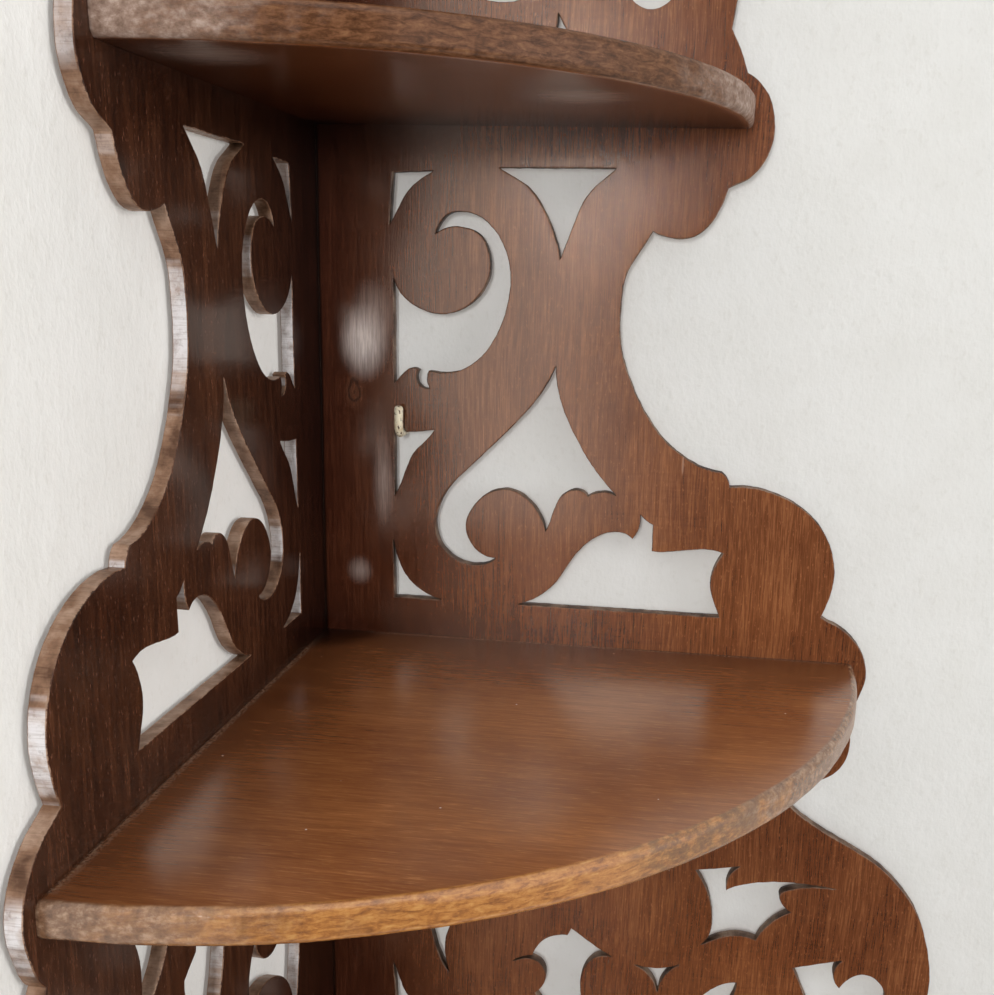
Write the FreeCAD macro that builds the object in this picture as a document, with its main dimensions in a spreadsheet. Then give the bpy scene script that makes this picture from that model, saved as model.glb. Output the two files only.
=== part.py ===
import FreeCAD, Part
import math
import os

from FreeCAD import Placement, Rotation, Vector

# Fret-sawn corner etagere for a wall. Millimetres, +Z up. The right wall is the plane y = 0 and the left wall
# the plane x = 0, so the walls meet along the Z axis; the lowest point of the pendant is at z = 0.
# A panel is drawn as (u, z): u runs outwards along the panel from the inner corner, where the front faces meet.

os.makedirs("parts", exist_ok=True)
doc = FreeCAD.newDocument("Etagere")

# ---------------------------------------------------------------------------------------------------------------
# Sizes
# ---------------------------------------------------------------------------------------------------------------

SIZES = {
    # boards
    "panel_thickness": 6.5,
    "shelf_thickness": 13.5,
    "shelf_rounding": 4.0,
    # reach of each shelf from the inner corner
    "top_radius": 144.0,
    "upper_radius": 213.0,
    "middle_radius": 282.0,
    "lower_radius": 351.0,
    # clear height of each bay, and what stands over and hangs under the shelves
    "upper_bay": 230.0,
    "middle_bay": 260.0,
    "lower_bay": 285.0,
    "crest_tall": 140.0,
    "point_tall": 190.0,
    # plain margins round the fretwork of a bay
    "stile_wide": 38.5,
    "rail_over_shelf": 20.5,
    "rail_under_shelf": 19.5,
    # wood screws, from the back through the panel into the shelf
    "screw_long": 25.0,
    "screw_shank": 3.2,
    "screw_core": 2.2,
    "screw_head": 6.2,
    "screw_slot_wide": 0.8,
    "screw_slot_deep": 0.9,
    "screw_thread_pitch": 1.5,
    "screw_inset": 32.0,
    "screw_margin": 42.0,
    "short_row": 2,
    "long_row": 3,
    # brads along the corner
    "brad_long": 22.0,
    "brad_wide": 1.4,
    "brad_head": 2.4,
    "brad_head_deep": 0.8,
    "brad_foot": 45.0,
    "brad_over": 60.0,
    "brad_count": 7,
    # square-bend hook
    "hook_wire": 4.5,
    "hook_bend": 4.0,
    "hook_standoff": 4.6,
    "hook_leg": 14.5,
    "hook_side": 1.3,
    "hook_in_wall": 25.0,
    "hook_core": 3.4,
    "hook_thread_pitch": 2.0,
    "hook_gap": 0.3,
    # play between a fastener and its hole
    "fit_gap": 0.1,
}

DERIVED = {
    "lower_level": "=point_tall",
    "middle_level": "=lower_level + shelf_thickness + lower_bay",
    "upper_level": "=middle_level + shelf_thickness + middle_bay",
    "top_level": "=upper_level + shelf_thickness + upper_bay",
    "total_tall": "=top_level + shelf_thickness + crest_tall",
    "pilot_deep": "=screw_long - panel_thickness + 1",
    "brad_pitch": "=(total_tall - crest_tall + brad_over - brad_foot) / (brad_count - 1)",
}

sheet = doc.addObject("Spreadsheet::Sheet", "Sizes")
for row, (alias, value) in enumerate(list(SIZES.items()) + list(DERIVED.items()), start=1):
    sheet.set(f"A{row}", alias.replace("_", " "))
    sheet.set(f"B{row}", str(value))
    sheet.setAlias(f"B{row}", alias)
doc.recompute()


def size(alias):
    """The value of a named cell, in millimetres."""
    return float(sheet.get(alias))


THICK = size("panel_thickness")

# shelf name, level of its underside, radius, screws in a row
SHELVES = (
    ("top", "top_level", "top_radius", "short_row"),
    ("upper", "upper_level", "upper_radius", "short_row"),
    ("middle", "middle_level", "middle_radius", "long_row"),
    ("lower", "lower_level", "lower_radius", "long_row"),
)


def shelf_top(level):
    return size(level) + size("shelf_thickness")


# ---------------------------------------------------------------------------------------------------------------
# Fret patterns
# ---------------------------------------------------------------------------------------------------------------
# A loop is a list of points. A plain (u, z) is a corner; via(u, z) is a point that the sawn curve passes through
# smoothly. Two corners in a row are joined by a straight cut.


class via(tuple):
    """A smooth point of a sawn curve."""

    def __new__(cls, u, z):
        return super().__new__(cls, (u, z))


# Lobes that the panel's outline makes round the end of a shelf, from the cusp over it to the cusp under it,
# measured from the front end of the shelf's top face.
SMALL_LOBE = [
    (-4.5, 11.2), via(0.3, 8.2), via(5.3, 2.7), via(8, -2.9), via(9.4, -9.3), via(9.6, -17.1), via(7.5, -25),
    via(3.5, -31.6), via(-0.8, -35.6), via(-5.3, -37.8), (-9.8, -40.1),
]
LARGE_LOBE = [
    (-18.5, 23.8), via(-13.9, 21.4), via(-8.7, 19), via(-3.4, 15.1), via(1, 10.5), via(4.5, 4.8), via(6.5, -1.5),
    via(7, -7), via(6.4, -11.4), via(5.3, -15.3), via(2.3, -24.2), (-2, -31),
]

# Middle bay, on a drawing 220 tall, 243.5 wide at the foot and 174.5 at the head.
MIDDLE_PAPER = (220, 243.5, 174.5)
HOOK_SLOT = [
    (0.5, 89), via(10, 89.5), (21.5, 91), via(16, 84.5), via(10, 78), via(5.5, 67.5), (0.5, 55.5),
]
MIDDLE_FRET = {
    "stile_spandrel_upper": [
        (0.5, 217.5), (20.5, 218.5), via(14, 214.5), via(7.5, 208.5), via(2.5, 200), (-1.5, 192.5),
    ],
    "upper_scroll": [
        (22, 189), via(24, 193.5), via(29, 198.5), via(36.5, 199.5), via(44, 197.5), via(50.5, 192.5),
        via(55.5, 185.5), via(59, 176.5), via(60, 166.5), via(58.5, 155), via(54, 142), via(46.5, 130.5),
        via(38.5, 124), via(30, 121), (18.5, 121.5), via(17.5, 117.5), (19, 112.5), via(14.5, 113.5),
        (13.5, 121.5), via(9, 122.5), via(4.5, 119), (0.5, 114.5), (0.5, 167), via(4, 159.5), via(10.5, 154),
        via(19, 150.5), via(28.5, 150), via(37.5, 153.5), via(44.5, 159.5), via(49.5, 169), via(49.5, 179),
        via(45.5, 188), via(38.5, 192), via(29.5, 192.5),
    ],
    "crown_spandrel": [
        (53.5, 220.5), (110.5, 221), via(104, 215.5), via(97, 208.5), via(92, 198.5), via(88, 187.5),
        (84.5, 178), via(83.5, 184.5), via(79.5, 195), via(74, 205), via(67.5, 212.5), via(60, 217),
    ],
    "lower_scroll": [
        (84, 126), via(85.5, 113), via(90, 100.5), via(97, 87), via(106, 73.5), (117, 61.5), via(110, 63),
        (102.5, 60.5), via(96, 63.5), via(88.5, 59.5), via(84.5, 51), (81, 40.5), via(78.5, 48),
        via(72.5, 56), via(63, 61.5), via(52.5, 60.5), via(43.5, 53.5), via(38.5, 43), via(40, 34.5),
        via(45.5, 27.5), (54.5, 24.5), via(50, 21.5), via(41, 20.5), via(31.5, 24), via(24.5, 32),
        via(22.5, 41), via(24, 50.5), via(29.5, 61), via(39, 71), via(54.5, 86.5), via(66.5, 99),
        via(76.5, 111.5),
    ],
    "hook_slot": HOOK_SLOT,
    "stile_spandrel_lower": [
        (-0.5, 31.5), (0, 0), (25.5, 0), via(17, 3), via(8, 10), via(2.5, 19.5),
    ],
    "foot_leaf": [
        (67, 0), via(77.5, 4.5), via(87, 13), via(93.5, 23.5), via(101, 33.5), via(110.5, 40.5), via(120, 42),
        (126.5, 39), via(129.5, 44.5), (130, 52), via(133, 49), (136.5, 47), (136.5, 33), via(147.5, 33.5),
        via(161.5, 35.5), (173, 34), via(169, 26), via(167.5, 16), via(170, 7.5), (173, 0),
    ],
}
MIDDLE_SIDE = [
    via(162, 205), via(157.5, 197), via(151, 191), via(142.5, 189), (129.5, 192), via(123.5, 182.5),
    via(117.5, 171.5), via(115.5, 157.5), via(116, 139.5), via(121, 122), via(129, 106), via(139, 92.5),
    via(150.5, 83), via(160.5, 78), (170, 76), via(173, 73), (174.5, 69), via(189.5, 68.5), via(204.5, 63.5),
    via(219, 53), via(228, 37.5), via(230, 23.5), via(228, 12),
]

# Lower bay, on a drawing 245 tall, 312.5 wide at the foot and 243.5 at the head.
LOWER_PAPER = (245, 312.5, 243.5)
LOWER_FRET = {
    "stile_spandrel_upper": [
        (0, 245), (25.5, 245), via(16.5, 241), via(7.5, 232.5), via(2, 222), (-0.5, 210),
    ],
    "crown_spandrel": [
        (45.5, 245), (95.5, 245), via(85.5, 238), via(77.5, 225), (72, 206), via(68.5, 218), via(59.5, 235),
    ],
    "shoulder_leaf": [
        (139.5, 245), (201.5, 245), via(188.5, 233), via(182.5, 218), (184.5, 194), via(172.5, 199),
        via(159.5, 214), via(152.5, 232),
    ],
    "hidden_leaf": [
        (102.5, 230), via(118.5, 224), via(130.5, 210), (137, 192), (148.5, 186), via(148, 178),
        via(141.5, 165), (121.5, 148), via(116, 158), via(110.5, 175.5), via(105.5, 198),
    ],
    "upper_scroll": [
        (31, 72), via(25, 83.5), via(20.5, 100), via(17.5, 118), via(21.5, 138), (33.5, 154),
        via(41.5, 142), via(54.5, 137.5), via(67.5, 143), (75.5, 157), via(82.5, 147), via(85, 135.5),
        (84.5, 123), via(76.5, 127), via(66, 128), via(49, 121), via(36.5, 110), via(29.5, 97), via(28.5, 84),
    ],
    "leaf": [
        (170, 152), via(184.5, 154.5), (193.5, 156.5), via(188, 150), (187, 141), via(194.5, 145),
        via(209, 148.5), via(223.5, 149.5), (246, 148), via(234, 148), via(223.5, 146), via(216.5, 142.5),
        via(216.5, 138), (222.5, 131.5), via(212.5, 124), (205, 112.5), via(194.5, 114), via(184.5, 111.5),
        (175, 106), via(180, 113.5), via(180.5, 125), via(177.5, 138.5),
    ],
    "eye_leaf": [
        (68.5, 83.5), via(74.5, 87), (80, 88.5), via(86, 98.5), via(92.5, 102.5), (100, 103.5), (102, 108),
        via(111, 101.5), (125.5, 92.5), via(117.5, 92), via(111, 85.5), via(108, 75), via(110, 60),
        (121.5, 42), via(104.5, 45), via(91.5, 53), (82.5, 64), via(87, 70), via(88, 78), via(83, 85),
    ],
    "little_spandrel": [
        (139, 89), via(151.5, 88), (164, 92), via(156.5, 85), (152.5, 73), via(148.5, 82),
    ],
    "little_leaf": [
        (196.5, 84), via(185.5, 80), via(176, 70), (168.5, 52), via(180.5, 57), via(191.5, 68),
    ],
    "outer_leaf": [
        (227, 97), via(237.5, 100), (253, 104.5), via(249, 97), (253, 87), via(258.5, 94), via(265.5, 97),
        via(273.5, 93.5), via(278, 84), via(274.5, 70), (259.5, 54), via(247.5, 61), via(238.5, 72),
        via(233, 84),
    ],
    "stile_leaf": [
        (-2, 74.5), via(1.5, 63.5), via(6.5, 52.5), (19.5, 38), via(8.5, 37.5), (0, 39.5),
    ],
    "stile_spandrel_lower": [
        (-0.5, 24), (0, 0), (27.5, 0), via(18, 3.5), via(8, 11),
    ],
    "foot_leaf": [
        (47.5, 0), via(62.5, 4.5), via(74.5, 14), via(85.5, 23.5), via(101.5, 27), (118.5, 21), (126, 31),
        (133, 20.5), via(147.5, 18.5), via(167.5, 24), via(187.5, 37), (213.5, 45.5), via(208, 32),
        via(211.5, 16), (223.5, 0),
    ],
    "toe_leaf": [
        (242.5, 0), via(235.5, 16), via(238.5, 32), (247.5, 42), via(258.5, 33), via(264.5, 20), (279.5, 0),
    ],
}
LOWER_SIDE = [
    via(245, 240), via(246, 232), via(244.5, 224), via(240.5, 217), via(232.5, 211.5), (214.5, 208),
    via(215.5, 199), via(220.5, 192.5), via(231, 185), via(243, 178), via(258, 170), via(270.5, 161.5),
    via(281, 151), via(289.5, 139), via(295.5, 124.5), via(299.5, 109), via(301, 93), via(298.5, 75),
    via(291.5, 59), (279.5, 47), via(275, 32), via(277.5, 18), via(285.5, 8),
]

# Upper bay, on a drawing 190 tall, 174.5 wide at the foot and 105.5 at the head.
UPPER_PAPER = (190, 174.5, 105.5)
UPPER_FRET = {
    "spandrel_inner": [(18.5, 0), (46.5, 0), via(37, 4), (31.5, 14.5), via(27.5, 5)],
    "spandrel_outer": [(67.5, 0), (99.5, 0), via(91, 3), via(85.5, 7.5), (80.5, 16), via(78.5, 7)],
    "drop": [
        (109.5, 70), via(120.5, 58.5), via(132.5, 46), via(136.5, 32), via(131.5, 21), via(123.5, 18),
        via(116, 21), via(111, 31), via(109, 48),
    ],
    "upper_scroll": [
        (0, 58), (0, 103), via(6, 108.5), (15.5, 106), via(33.5, 108), via(53.5, 103.5), via(69.5, 92.5),
        via(80.5, 76), via(84, 56), via(79.5, 37), via(68.5, 25), via(54.5, 21), (38.5, 25), via(53.5, 28.5),
        via(66.5, 37), via(72, 53), via(66.5, 69), via(52.5, 77.5), via(34.5, 76), via(16.5, 67.5),
    ],
    "stile_leaf": [(0, 149), via(11.5, 147.5), (27.5, 149), via(17.5, 142.5), via(7.5, 134), (0, 120)],
    "kite": [
        (49.5, 153), via(52.5, 137), via(60, 122), (72.5, 107.5), via(59.5, 114), via(45.5, 117),
        (29.5, 116.5), via(39.5, 127), via(46, 139),
    ],
    "stile_spandrel_upper": [(0, 190), (21.5, 190), via(12.5, 186.5), via(5, 179), (0, 168)],
    "crown_spandrel": [
        (31.5, 190), (68.5, 190), via(61, 184), via(56, 174), (53.5, 161), via(49.5, 174), via(42.5, 185),
    ],
}
UPPER_SIDE = [
    via(96, 175), via(92.5, 167), (81.5, 161), via(78, 151), via(77.5, 136), via(82, 116), via(92.5, 97),
    via(108.5, 82.5), (126.5, 74), via(142.5, 72.5), via(154.5, 66), via(162.5, 54), via(165, 39),
    via(163.5, 23), (161.5, 9.5), via(165.5, 2.5),
]

# Crest over the top shelf, on a drawing 144 wide and 140 tall that starts at the inner corner.
CREST_PAPER = (144, 140)
CREST_FRET = {
    "leaf": [
        (40, 22), (100, 22), via(87, 28), via(77.5, 39), via(72, 54), (61, 76), via(50, 65), via(43, 47),
    ],
    "drop": [
        (17, 124), via(25, 111), via(29.5, 97), via(24, 86), via(15, 85), via(10, 94), via(11.5, 109),
    ],
    "eye": [(106, 31), via(112, 37), (118, 31), via(112, 25)],
}
CREST_SIDE = [
    (0, 140), via(14, 137), via(25, 127), via(37, 113), (50, 105), via(66, 107), via(80, 97), via(90, 80),
    via(100, 61), (112, 48), via(128, 43), via(138, 28),
]

# Pendant under the lower shelf, on a drawing 351 wide and 190 tall whose z runs down from the shelf.
POINT_PAPER = (351, 190)
POINT_FRET = {
    "stile_leaf": [(38.5, -22), (96, -22), via(80, -32), via(66, -48), via(58, -68), (40, -92)],
    "inner_leaf": [
        (128, -22), (210, -22), via(190, -33), via(172, -50), via(150, -66), (120, -80), via(118, -60),
        via(122, -40),
    ],
    "outer_leaf": [(240, -24), (318, -26), via(300, -40), via(280, -54), (252, -66), via(244, -45)],
    "eye": [
        (40, -118), via(66, -112), via(92, -118), (122, -134), via(96, -150), via(66, -156), (40, -158),
    ],
    "slip": [(136, -106), via(156, -92), via(180, -92), (214, -100), via(192, -112), via(164, -117)],
}
POINT_SIDE = [
    via(353, -31), via(352.5, -39), via(348, -47.5), via(341, -53), via(331, -56), (322, -57), via(312, -68),
    via(296, -80), via(276, -86), (262, -88), via(258, -103), via(246, -116), via(230, -122), (214, -121),
    via(204, -133), via(186, -144), (168, -148), via(160, -160), via(146, -168), via(130, -169), (118, -165),
    via(108, -173), via(90, -178), (72, -176), via(54, -186), via(28, -189.5), (0, -190),
]


def moved(points, place):
    """The same loop with every point put through place, smooth points staying smooth."""
    return [via(*place(*p)) if isinstance(p, via) else place(*p) for p in points]


def bay_place(paper, lower_radius, upper_radius, level, bay):
    """Carries a bay's drawing onto the panel, between the stile and the line from shelf end to shelf end."""
    tall, foot, head = paper
    stile = size("stile_wide")
    start = shelf_top(level) + size("rail_over_shelf")
    height = size(bay) - size("rail_over_shelf") - size("rail_under_shelf")
    wide_foot, wide_head = size(lower_radius) - stile, size(upper_radius) - stile

    def place(u, z):
        rise = z / tall
        scale = (wide_foot + (wide_head - wide_foot) * rise) / (foot + (head - foot) * rise)
        return stile + u * scale, start + rise * height

    return place


def crest_place(u, z):
    wide, tall = CREST_PAPER
    return u * size("top_radius") / wide, shelf_top("top_level") + z * size("crest_tall") / tall


def point_place(u, z):
    wide, tall = POINT_PAPER
    return u * size("lower_radius") / wide, size("lower_level") + z * size("point_tall") / tall


def lobe(points, radius, level):
    return moved(points, lambda u, z: (size(radius) + u, shelf_top(level) + z))


upper_place = bay_place(UPPER_PAPER, "upper_radius", "top_radius", "upper_level", "upper_bay")
middle_place = bay_place(MIDDLE_PAPER, "middle_radius", "upper_radius", "middle_level", "middle_bay")
lower_place = bay_place(LOWER_PAPER, "lower_radius", "middle_radius", "lower_level", "lower_bay")

FRETS = (
    ("Crest", CREST_FRET, crest_place),
    ("Upper", UPPER_FRET, upper_place),
    ("Middle", MIDDLE_FRET, middle_place),
    ("Lower", LOWER_FRET, lower_place),
    ("Point", POINT_FRET, point_place),
)

SILHOUETTE = (
    moved(CREST_SIDE, crest_place)
    + lobe(SMALL_LOBE, "top_radius", "top_level")
    + moved(UPPER_SIDE, upper_place)
    + lobe(SMALL_LOBE, "upper_radius", "upper_level")
    + moved(MIDDLE_SIDE, middle_place)
    + lobe(LARGE_LOBE, "middle_radius", "middle_level")
    + moved(LOWER_SIDE, lower_place)
    + lobe(LARGE_LOBE, "lower_radius", "lower_level")
    + moved(POINT_SIDE, point_place)
)

# ---------------------------------------------------------------------------------------------------------------
# Helpers
# ---------------------------------------------------------------------------------------------------------------


def plane(body, role):
    return next(f for f in body.Origin.OriginFeatures if f.Role == role)


def new_body(label):
    body = doc.addObject("PartDesign::Body", label)
    body.Label = label
    return body


def new_sketch(body, name, role, offset=None):
    """An empty sketch on one of the body's own planes; offset names the cell that lifts it off the plane."""
    sketch = body.newObject("Sketcher::SketchObject", name)
    sketch.AttachmentSupport = (plane(body, role), [""])
    sketch.MapMode = "FlatFace"
    if offset:
        sketch.AttachmentOffset = Placement(Vector(0, 0, size(offset)), Rotation())
        sketch.setExpression("AttachmentOffset.Base.z", f"Sizes.{offset}")
    return sketch


def smooth(points):
    """A sawn curve through the points, its parameters spaced by the root of the distance."""
    steps = [math.sqrt(a.distanceToPoint(b)) for a, b in zip(points, points[1:])]
    total = sum(steps)
    marks = [sum(steps[:i]) / total for i in range(len(steps))] + [1.0]
    curve = Part.BSplineCurve()
    curve.interpolate(Points=points, Parameters=marks)
    return curve


def draw_loop(sketch, loop, across):
    """Adds a closed loop of straight cuts, arcs and smooth curves; across turns u into the sketch's x."""
    first = next(i for i, p in enumerate(loop) if not isinstance(p, via))
    loop = loop[first:] + loop[:first + 1]
    run = []
    for p in loop:
        run.append(Vector(across(p[0]), p[1], 0))
        if isinstance(p, via) or len(run) == 1:
            continue
        if len(run) == 2:
            sketch.addGeometry(Part.LineSegment(run[0], run[1]))
        elif len(run) == 3:
            sketch.addGeometry(Part.Arc(*run))
        else:
            sketch.addGeometry(smooth(run))
        run = [run[-1]]


def draw_circles(sketch, places, diameter):
    for x, y in places:
        sketch.addGeometry(Part.Circle(Vector(x, y, 0), Vector(0, 0, 1), diameter / 2))


def cut(body, feature, before):
    """Recomputes and makes sure that the feature took wood away."""
    doc.recompute()
    if not feature.Shape.Volume < before - 1e-3:
        raise RuntimeError(f"{body.Label}.{feature.Name} cut nothing")
    return feature


def add_pocket(body, name, sketch, length=None):
    """Cuts the sketch along its normal, through everything or to the depth of a named cell."""
    before = body.Shape.Volume
    pocket = body.newObject("PartDesign::Pocket", name)
    pocket.Profile = sketch
    pocket.Reversed = True
    pocket.Refine = False
    if length:
        pocket.Type = "Length"
        pocket.setExpression("Length", length)
    else:
        pocket.Type = "ThroughAll"
    return cut(body, pocket, before)


def add_holes(body, name, sketch, diameter, depth=None, head=None, sink=None):
    """Drills the sketch's circles along its normal. head and sink make a countersink or a counterbore."""
    doc.recompute()
    before = body.Shape.Volume
    hole = body.newObject("PartDesign::Hole", name)
    hole.Profile = sketch
    hole.Refine = False
    doc.recompute()
    hole.Threaded = False
    hole.ThreadType = "None"
    hole.Reversed = True
    hole.setExpression("Diameter", diameter)
    if depth:
        hole.DepthType = "Dimension"
        hole.DrillPoint = "Flat"
        hole.setExpression("Depth", depth)
    else:
        hole.DepthType = "ThroughAll"
    if head:
        hole.HoleCutType = "Counterbore" if sink else "Countersink"
        hole.setExpression("HoleCutDiameter", head)
        if sink:
            hole.setExpression("HoleCutDepth", sink)
        else:
            hole.HoleCutCountersinkAngle = 90
    return cut(body, hole, before)


def screw_row(radius, row):
    """Distances of a shelf's screws from the inner corner."""
    count = int(size(row))
    first, last = size("screw_inset"), size(radius) - size("screw_margin")
    return [first + (last - first) * i / (count - 1) for i in range(count)]


def row_pitch(radius, row):
    return f"(Sizes.{radius} - Sizes.screw_margin - Sizes.screw_inset) / (Sizes.{row} - 1)"


BRADS = [size("brad_foot") + size("brad_pitch") * i for i in range(int(size("brad_count")))]

# ---------------------------------------------------------------------------------------------------------------
# Panels
# ---------------------------------------------------------------------------------------------------------------


def make_panel(label, role, across, rear):
    """One fret-sawn board: blank, fretwork bay by bay, then the screw holes from the back."""
    body = new_body(label)
    outline = new_sketch(body, f"{label}_outline", role)
    ends = [(rear, SILHOUETTE[-1][1]), (rear, SILHOUETTE[0][1])] if rear < 0 else []
    draw_loop(outline, SILHOUETTE + ends, across)
    blank = body.newObject("PartDesign::Pad", f"{label}_blank")
    blank.Profile = outline
    blank.setExpression("Length", "Sizes.panel_thickness")
    doc.recompute()

    for name, fret, place in FRETS:
        sketch = new_sketch(body, f"{label}_{name}_fret", role)
        for loop in fret.values():
            draw_loop(sketch, moved(loop, place), across)
        add_pocket(body, f"{label}_{name}_sawn", sketch)

    screws = new_sketch(body, f"{label}_screw_marks", role)
    for _, level, radius, row in SHELVES:
        middle = size(level) + size("shelf_thickness") / 2
        draw_circles(screws, [(across(u), middle) for u in screw_row(radius, row)], size("screw_shank"))
    add_holes(body, f"{label}_screw_holes", screws, "Sizes.screw_shank + Sizes.fit_gap",
              head="Sizes.screw_head + Sizes.fit_gap")
    return body


right_panel = make_panel("right_panel", "XZ_Plane", lambda u: THICK + u, -THICK)
left_panel = make_panel("left_panel", "YZ_Plane", lambda u: -THICK - u, 0)

brad_marks = new_sketch(right_panel, "right_brad_marks", "XZ_Plane")
draw_circles(brad_marks, [(THICK / 2, z) for z in BRADS], size("brad_wide"))
add_holes(right_panel, "right_brad_holes", brad_marks, "Sizes.brad_wide + Sizes.fit_gap",
          head="Sizes.brad_head + Sizes.fit_gap", sink="Sizes.brad_head_deep")

brad_pilots = new_sketch(left_panel, "left_brad_marks", "XZ_Plane", offset="panel_thickness")
draw_circles(brad_pilots, [(THICK / 2, z) for z in BRADS], size("brad_wide"))
add_holes(left_panel, "left_brad_holes", brad_pilots, "Sizes.brad_wide + Sizes.fit_gap",
          depth="Sizes.brad_long - Sizes.panel_thickness + 0.5")

# The hook's shank stands in the hook slot of the right panel, level with its upper edge and beside the slot's
# upper inner corner; a round notch in that edge seats it.
slot_u, slot_z = middle_place(*HOOK_SLOT[0])
hook_x = THICK + slot_u + size("hook_side") + size("hook_wire") / 2
notch = new_sketch(right_panel, "hook_notch_mark", "XZ_Plane")
draw_circles(notch, [(hook_x, slot_z)], size("hook_wire") + 2 * size("hook_gap"))
add_pocket(right_panel, "hook_notch", notch)

# ---------------------------------------------------------------------------------------------------------------
# Shelves
# ---------------------------------------------------------------------------------------------------------------


def make_shelf(name, level, radius, row):
    """A quarter-round board with its front edge rounded over, drilled in both back edges for its screws."""
    import Sketcher

    body = new_body(f"{name}_shelf")
    reach = size(radius)
    sketch = new_sketch(body, f"{name}_shelf_outline", "XY_Plane")
    corner, right_end, left_end = Vector(THICK, -THICK), Vector(THICK + reach, -THICK), Vector(THICK, -THICK - reach)
    sketch.addGeometry(Part.LineSegment(corner, right_end))
    sketch.addGeometry(Part.LineSegment(left_end, corner))
    round_edge = Part.Circle(corner, Vector(0, 0, 1), reach)
    sketch.addGeometry(Part.ArcOfCircle(round_edge, 1.5 * math.pi, 2 * math.pi))
    sketch.addConstraint([
        Sketcher.Constraint("Coincident", 1, 2, 0, 1),
        Sketcher.Constraint("Coincident", 2, 2, 0, 2),
        Sketcher.Constraint("Coincident", 2, 1, 1, 1),
        Sketcher.Constraint("Coincident", 2, 3, 0, 1),
        Sketcher.Constraint("Horizontal", 0),
        Sketcher.Constraint("Vertical", 1),
        Sketcher.Constraint("DistanceX", -1, 1, 0, 1, THICK),
        Sketcher.Constraint("DistanceY", 0, 1, -1, 1, THICK),
        Sketcher.Constraint("Radius", 2, reach),
    ])
    for index, cell in ((6, "panel_thickness"), (7, "panel_thickness"), (8, radius)):
        sketch.setExpression(f"Constraints[{index}]", f"Sizes.{cell}")
    board = body.newObject("PartDesign::Pad", f"{name}_shelf_board")
    board.Profile = sketch
    board.setExpression("Length", "Sizes.shelf_thickness")
    doc.recompute()

    front = [
        f"Edge{i}" for i, edge in enumerate(board.Shape.Edges, start=1)
        if edge.Curve.TypeId == "Part::GeomCircle"
    ]
    edge = body.newObject("PartDesign::Fillet", f"{name}_shelf_front")
    edge.Base = (board, front)
    edge.setExpression("Radius", "Sizes.shelf_rounding")
    doc.recompute()

    places = screw_row(radius, row)
    for side, role, across in (("right", "XZ_Plane", 1), ("left", "YZ_Plane", -1)):
        pilots = new_sketch(body, f"{name}_{side}_pilots", role, offset="panel_thickness")
        middle = size("shelf_thickness") / 2
        draw_circles(pilots, [(across * (THICK + u), middle) for u in places], size("screw_shank"))
        add_holes(body, f"{name}_{side}_drilled", pilots, "Sizes.screw_shank + Sizes.fit_gap",
                  depth="Sizes.pilot_deep")

    body.Placement = Placement(Vector(0, 0, size(level)), Rotation())
    body.setExpression("Placement.Base.z", f"Sizes.{level}")
    return body


shelves = [make_shelf(*shelf) for shelf in SHELVES]

# ---------------------------------------------------------------------------------------------------------------
# Screws, brads and hook
# ---------------------------------------------------------------------------------------------------------------


def ridged(start, end, outer, core, pitch):
    """Half profile of a thread: ridges from start to end, then a pointed tip. Distances run along the shank."""
    points = []
    along = start
    while along + pitch < end - 2 * outer:
        points += [(core / 2, along + pitch * 0.35), (core / 2, along + pitch * 0.65), (outer / 2, along + pitch)]
        along += pitch
    return points + [(core / 2, end - 1.6 * outer), (0, end)]


def draw_profile(sketch, points, direction):
    """A closed straight-sided half profile about the sketch's V axis; direction is +1 or -1 along that axis."""
    corners = [Vector(r, direction * along, 0) for r, along in points]
    for a, b in zip(corners, corners[1:] + corners[:1]):
        sketch.addGeometry(Part.LineSegment(a, b))


def spin(body, name, sketch):
    turned = body.newObject("PartDesign::Revolution", name)
    turned.Profile = sketch
    turned.ReferenceAxis = (sketch, ["V_Axis"])
    turned.Angle = 360
    doc.recompute()
    return turned


def pattern(body, name, features, sketch, axis, pitch, count, reverse=False):
    """Repeats the features in a straight row and makes the row the body's result."""
    row = body.newObject("PartDesign::LinearPattern", name)
    row.Originals = features
    row.Direction = (sketch, [axis])
    row.Reversed = reverse
    row.Mode = "Spacing"
    row.setExpression("Offset", pitch)
    row.setExpression("Occurrences", count)
    body.Tip = row
    doc.recompute()
    return row


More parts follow.
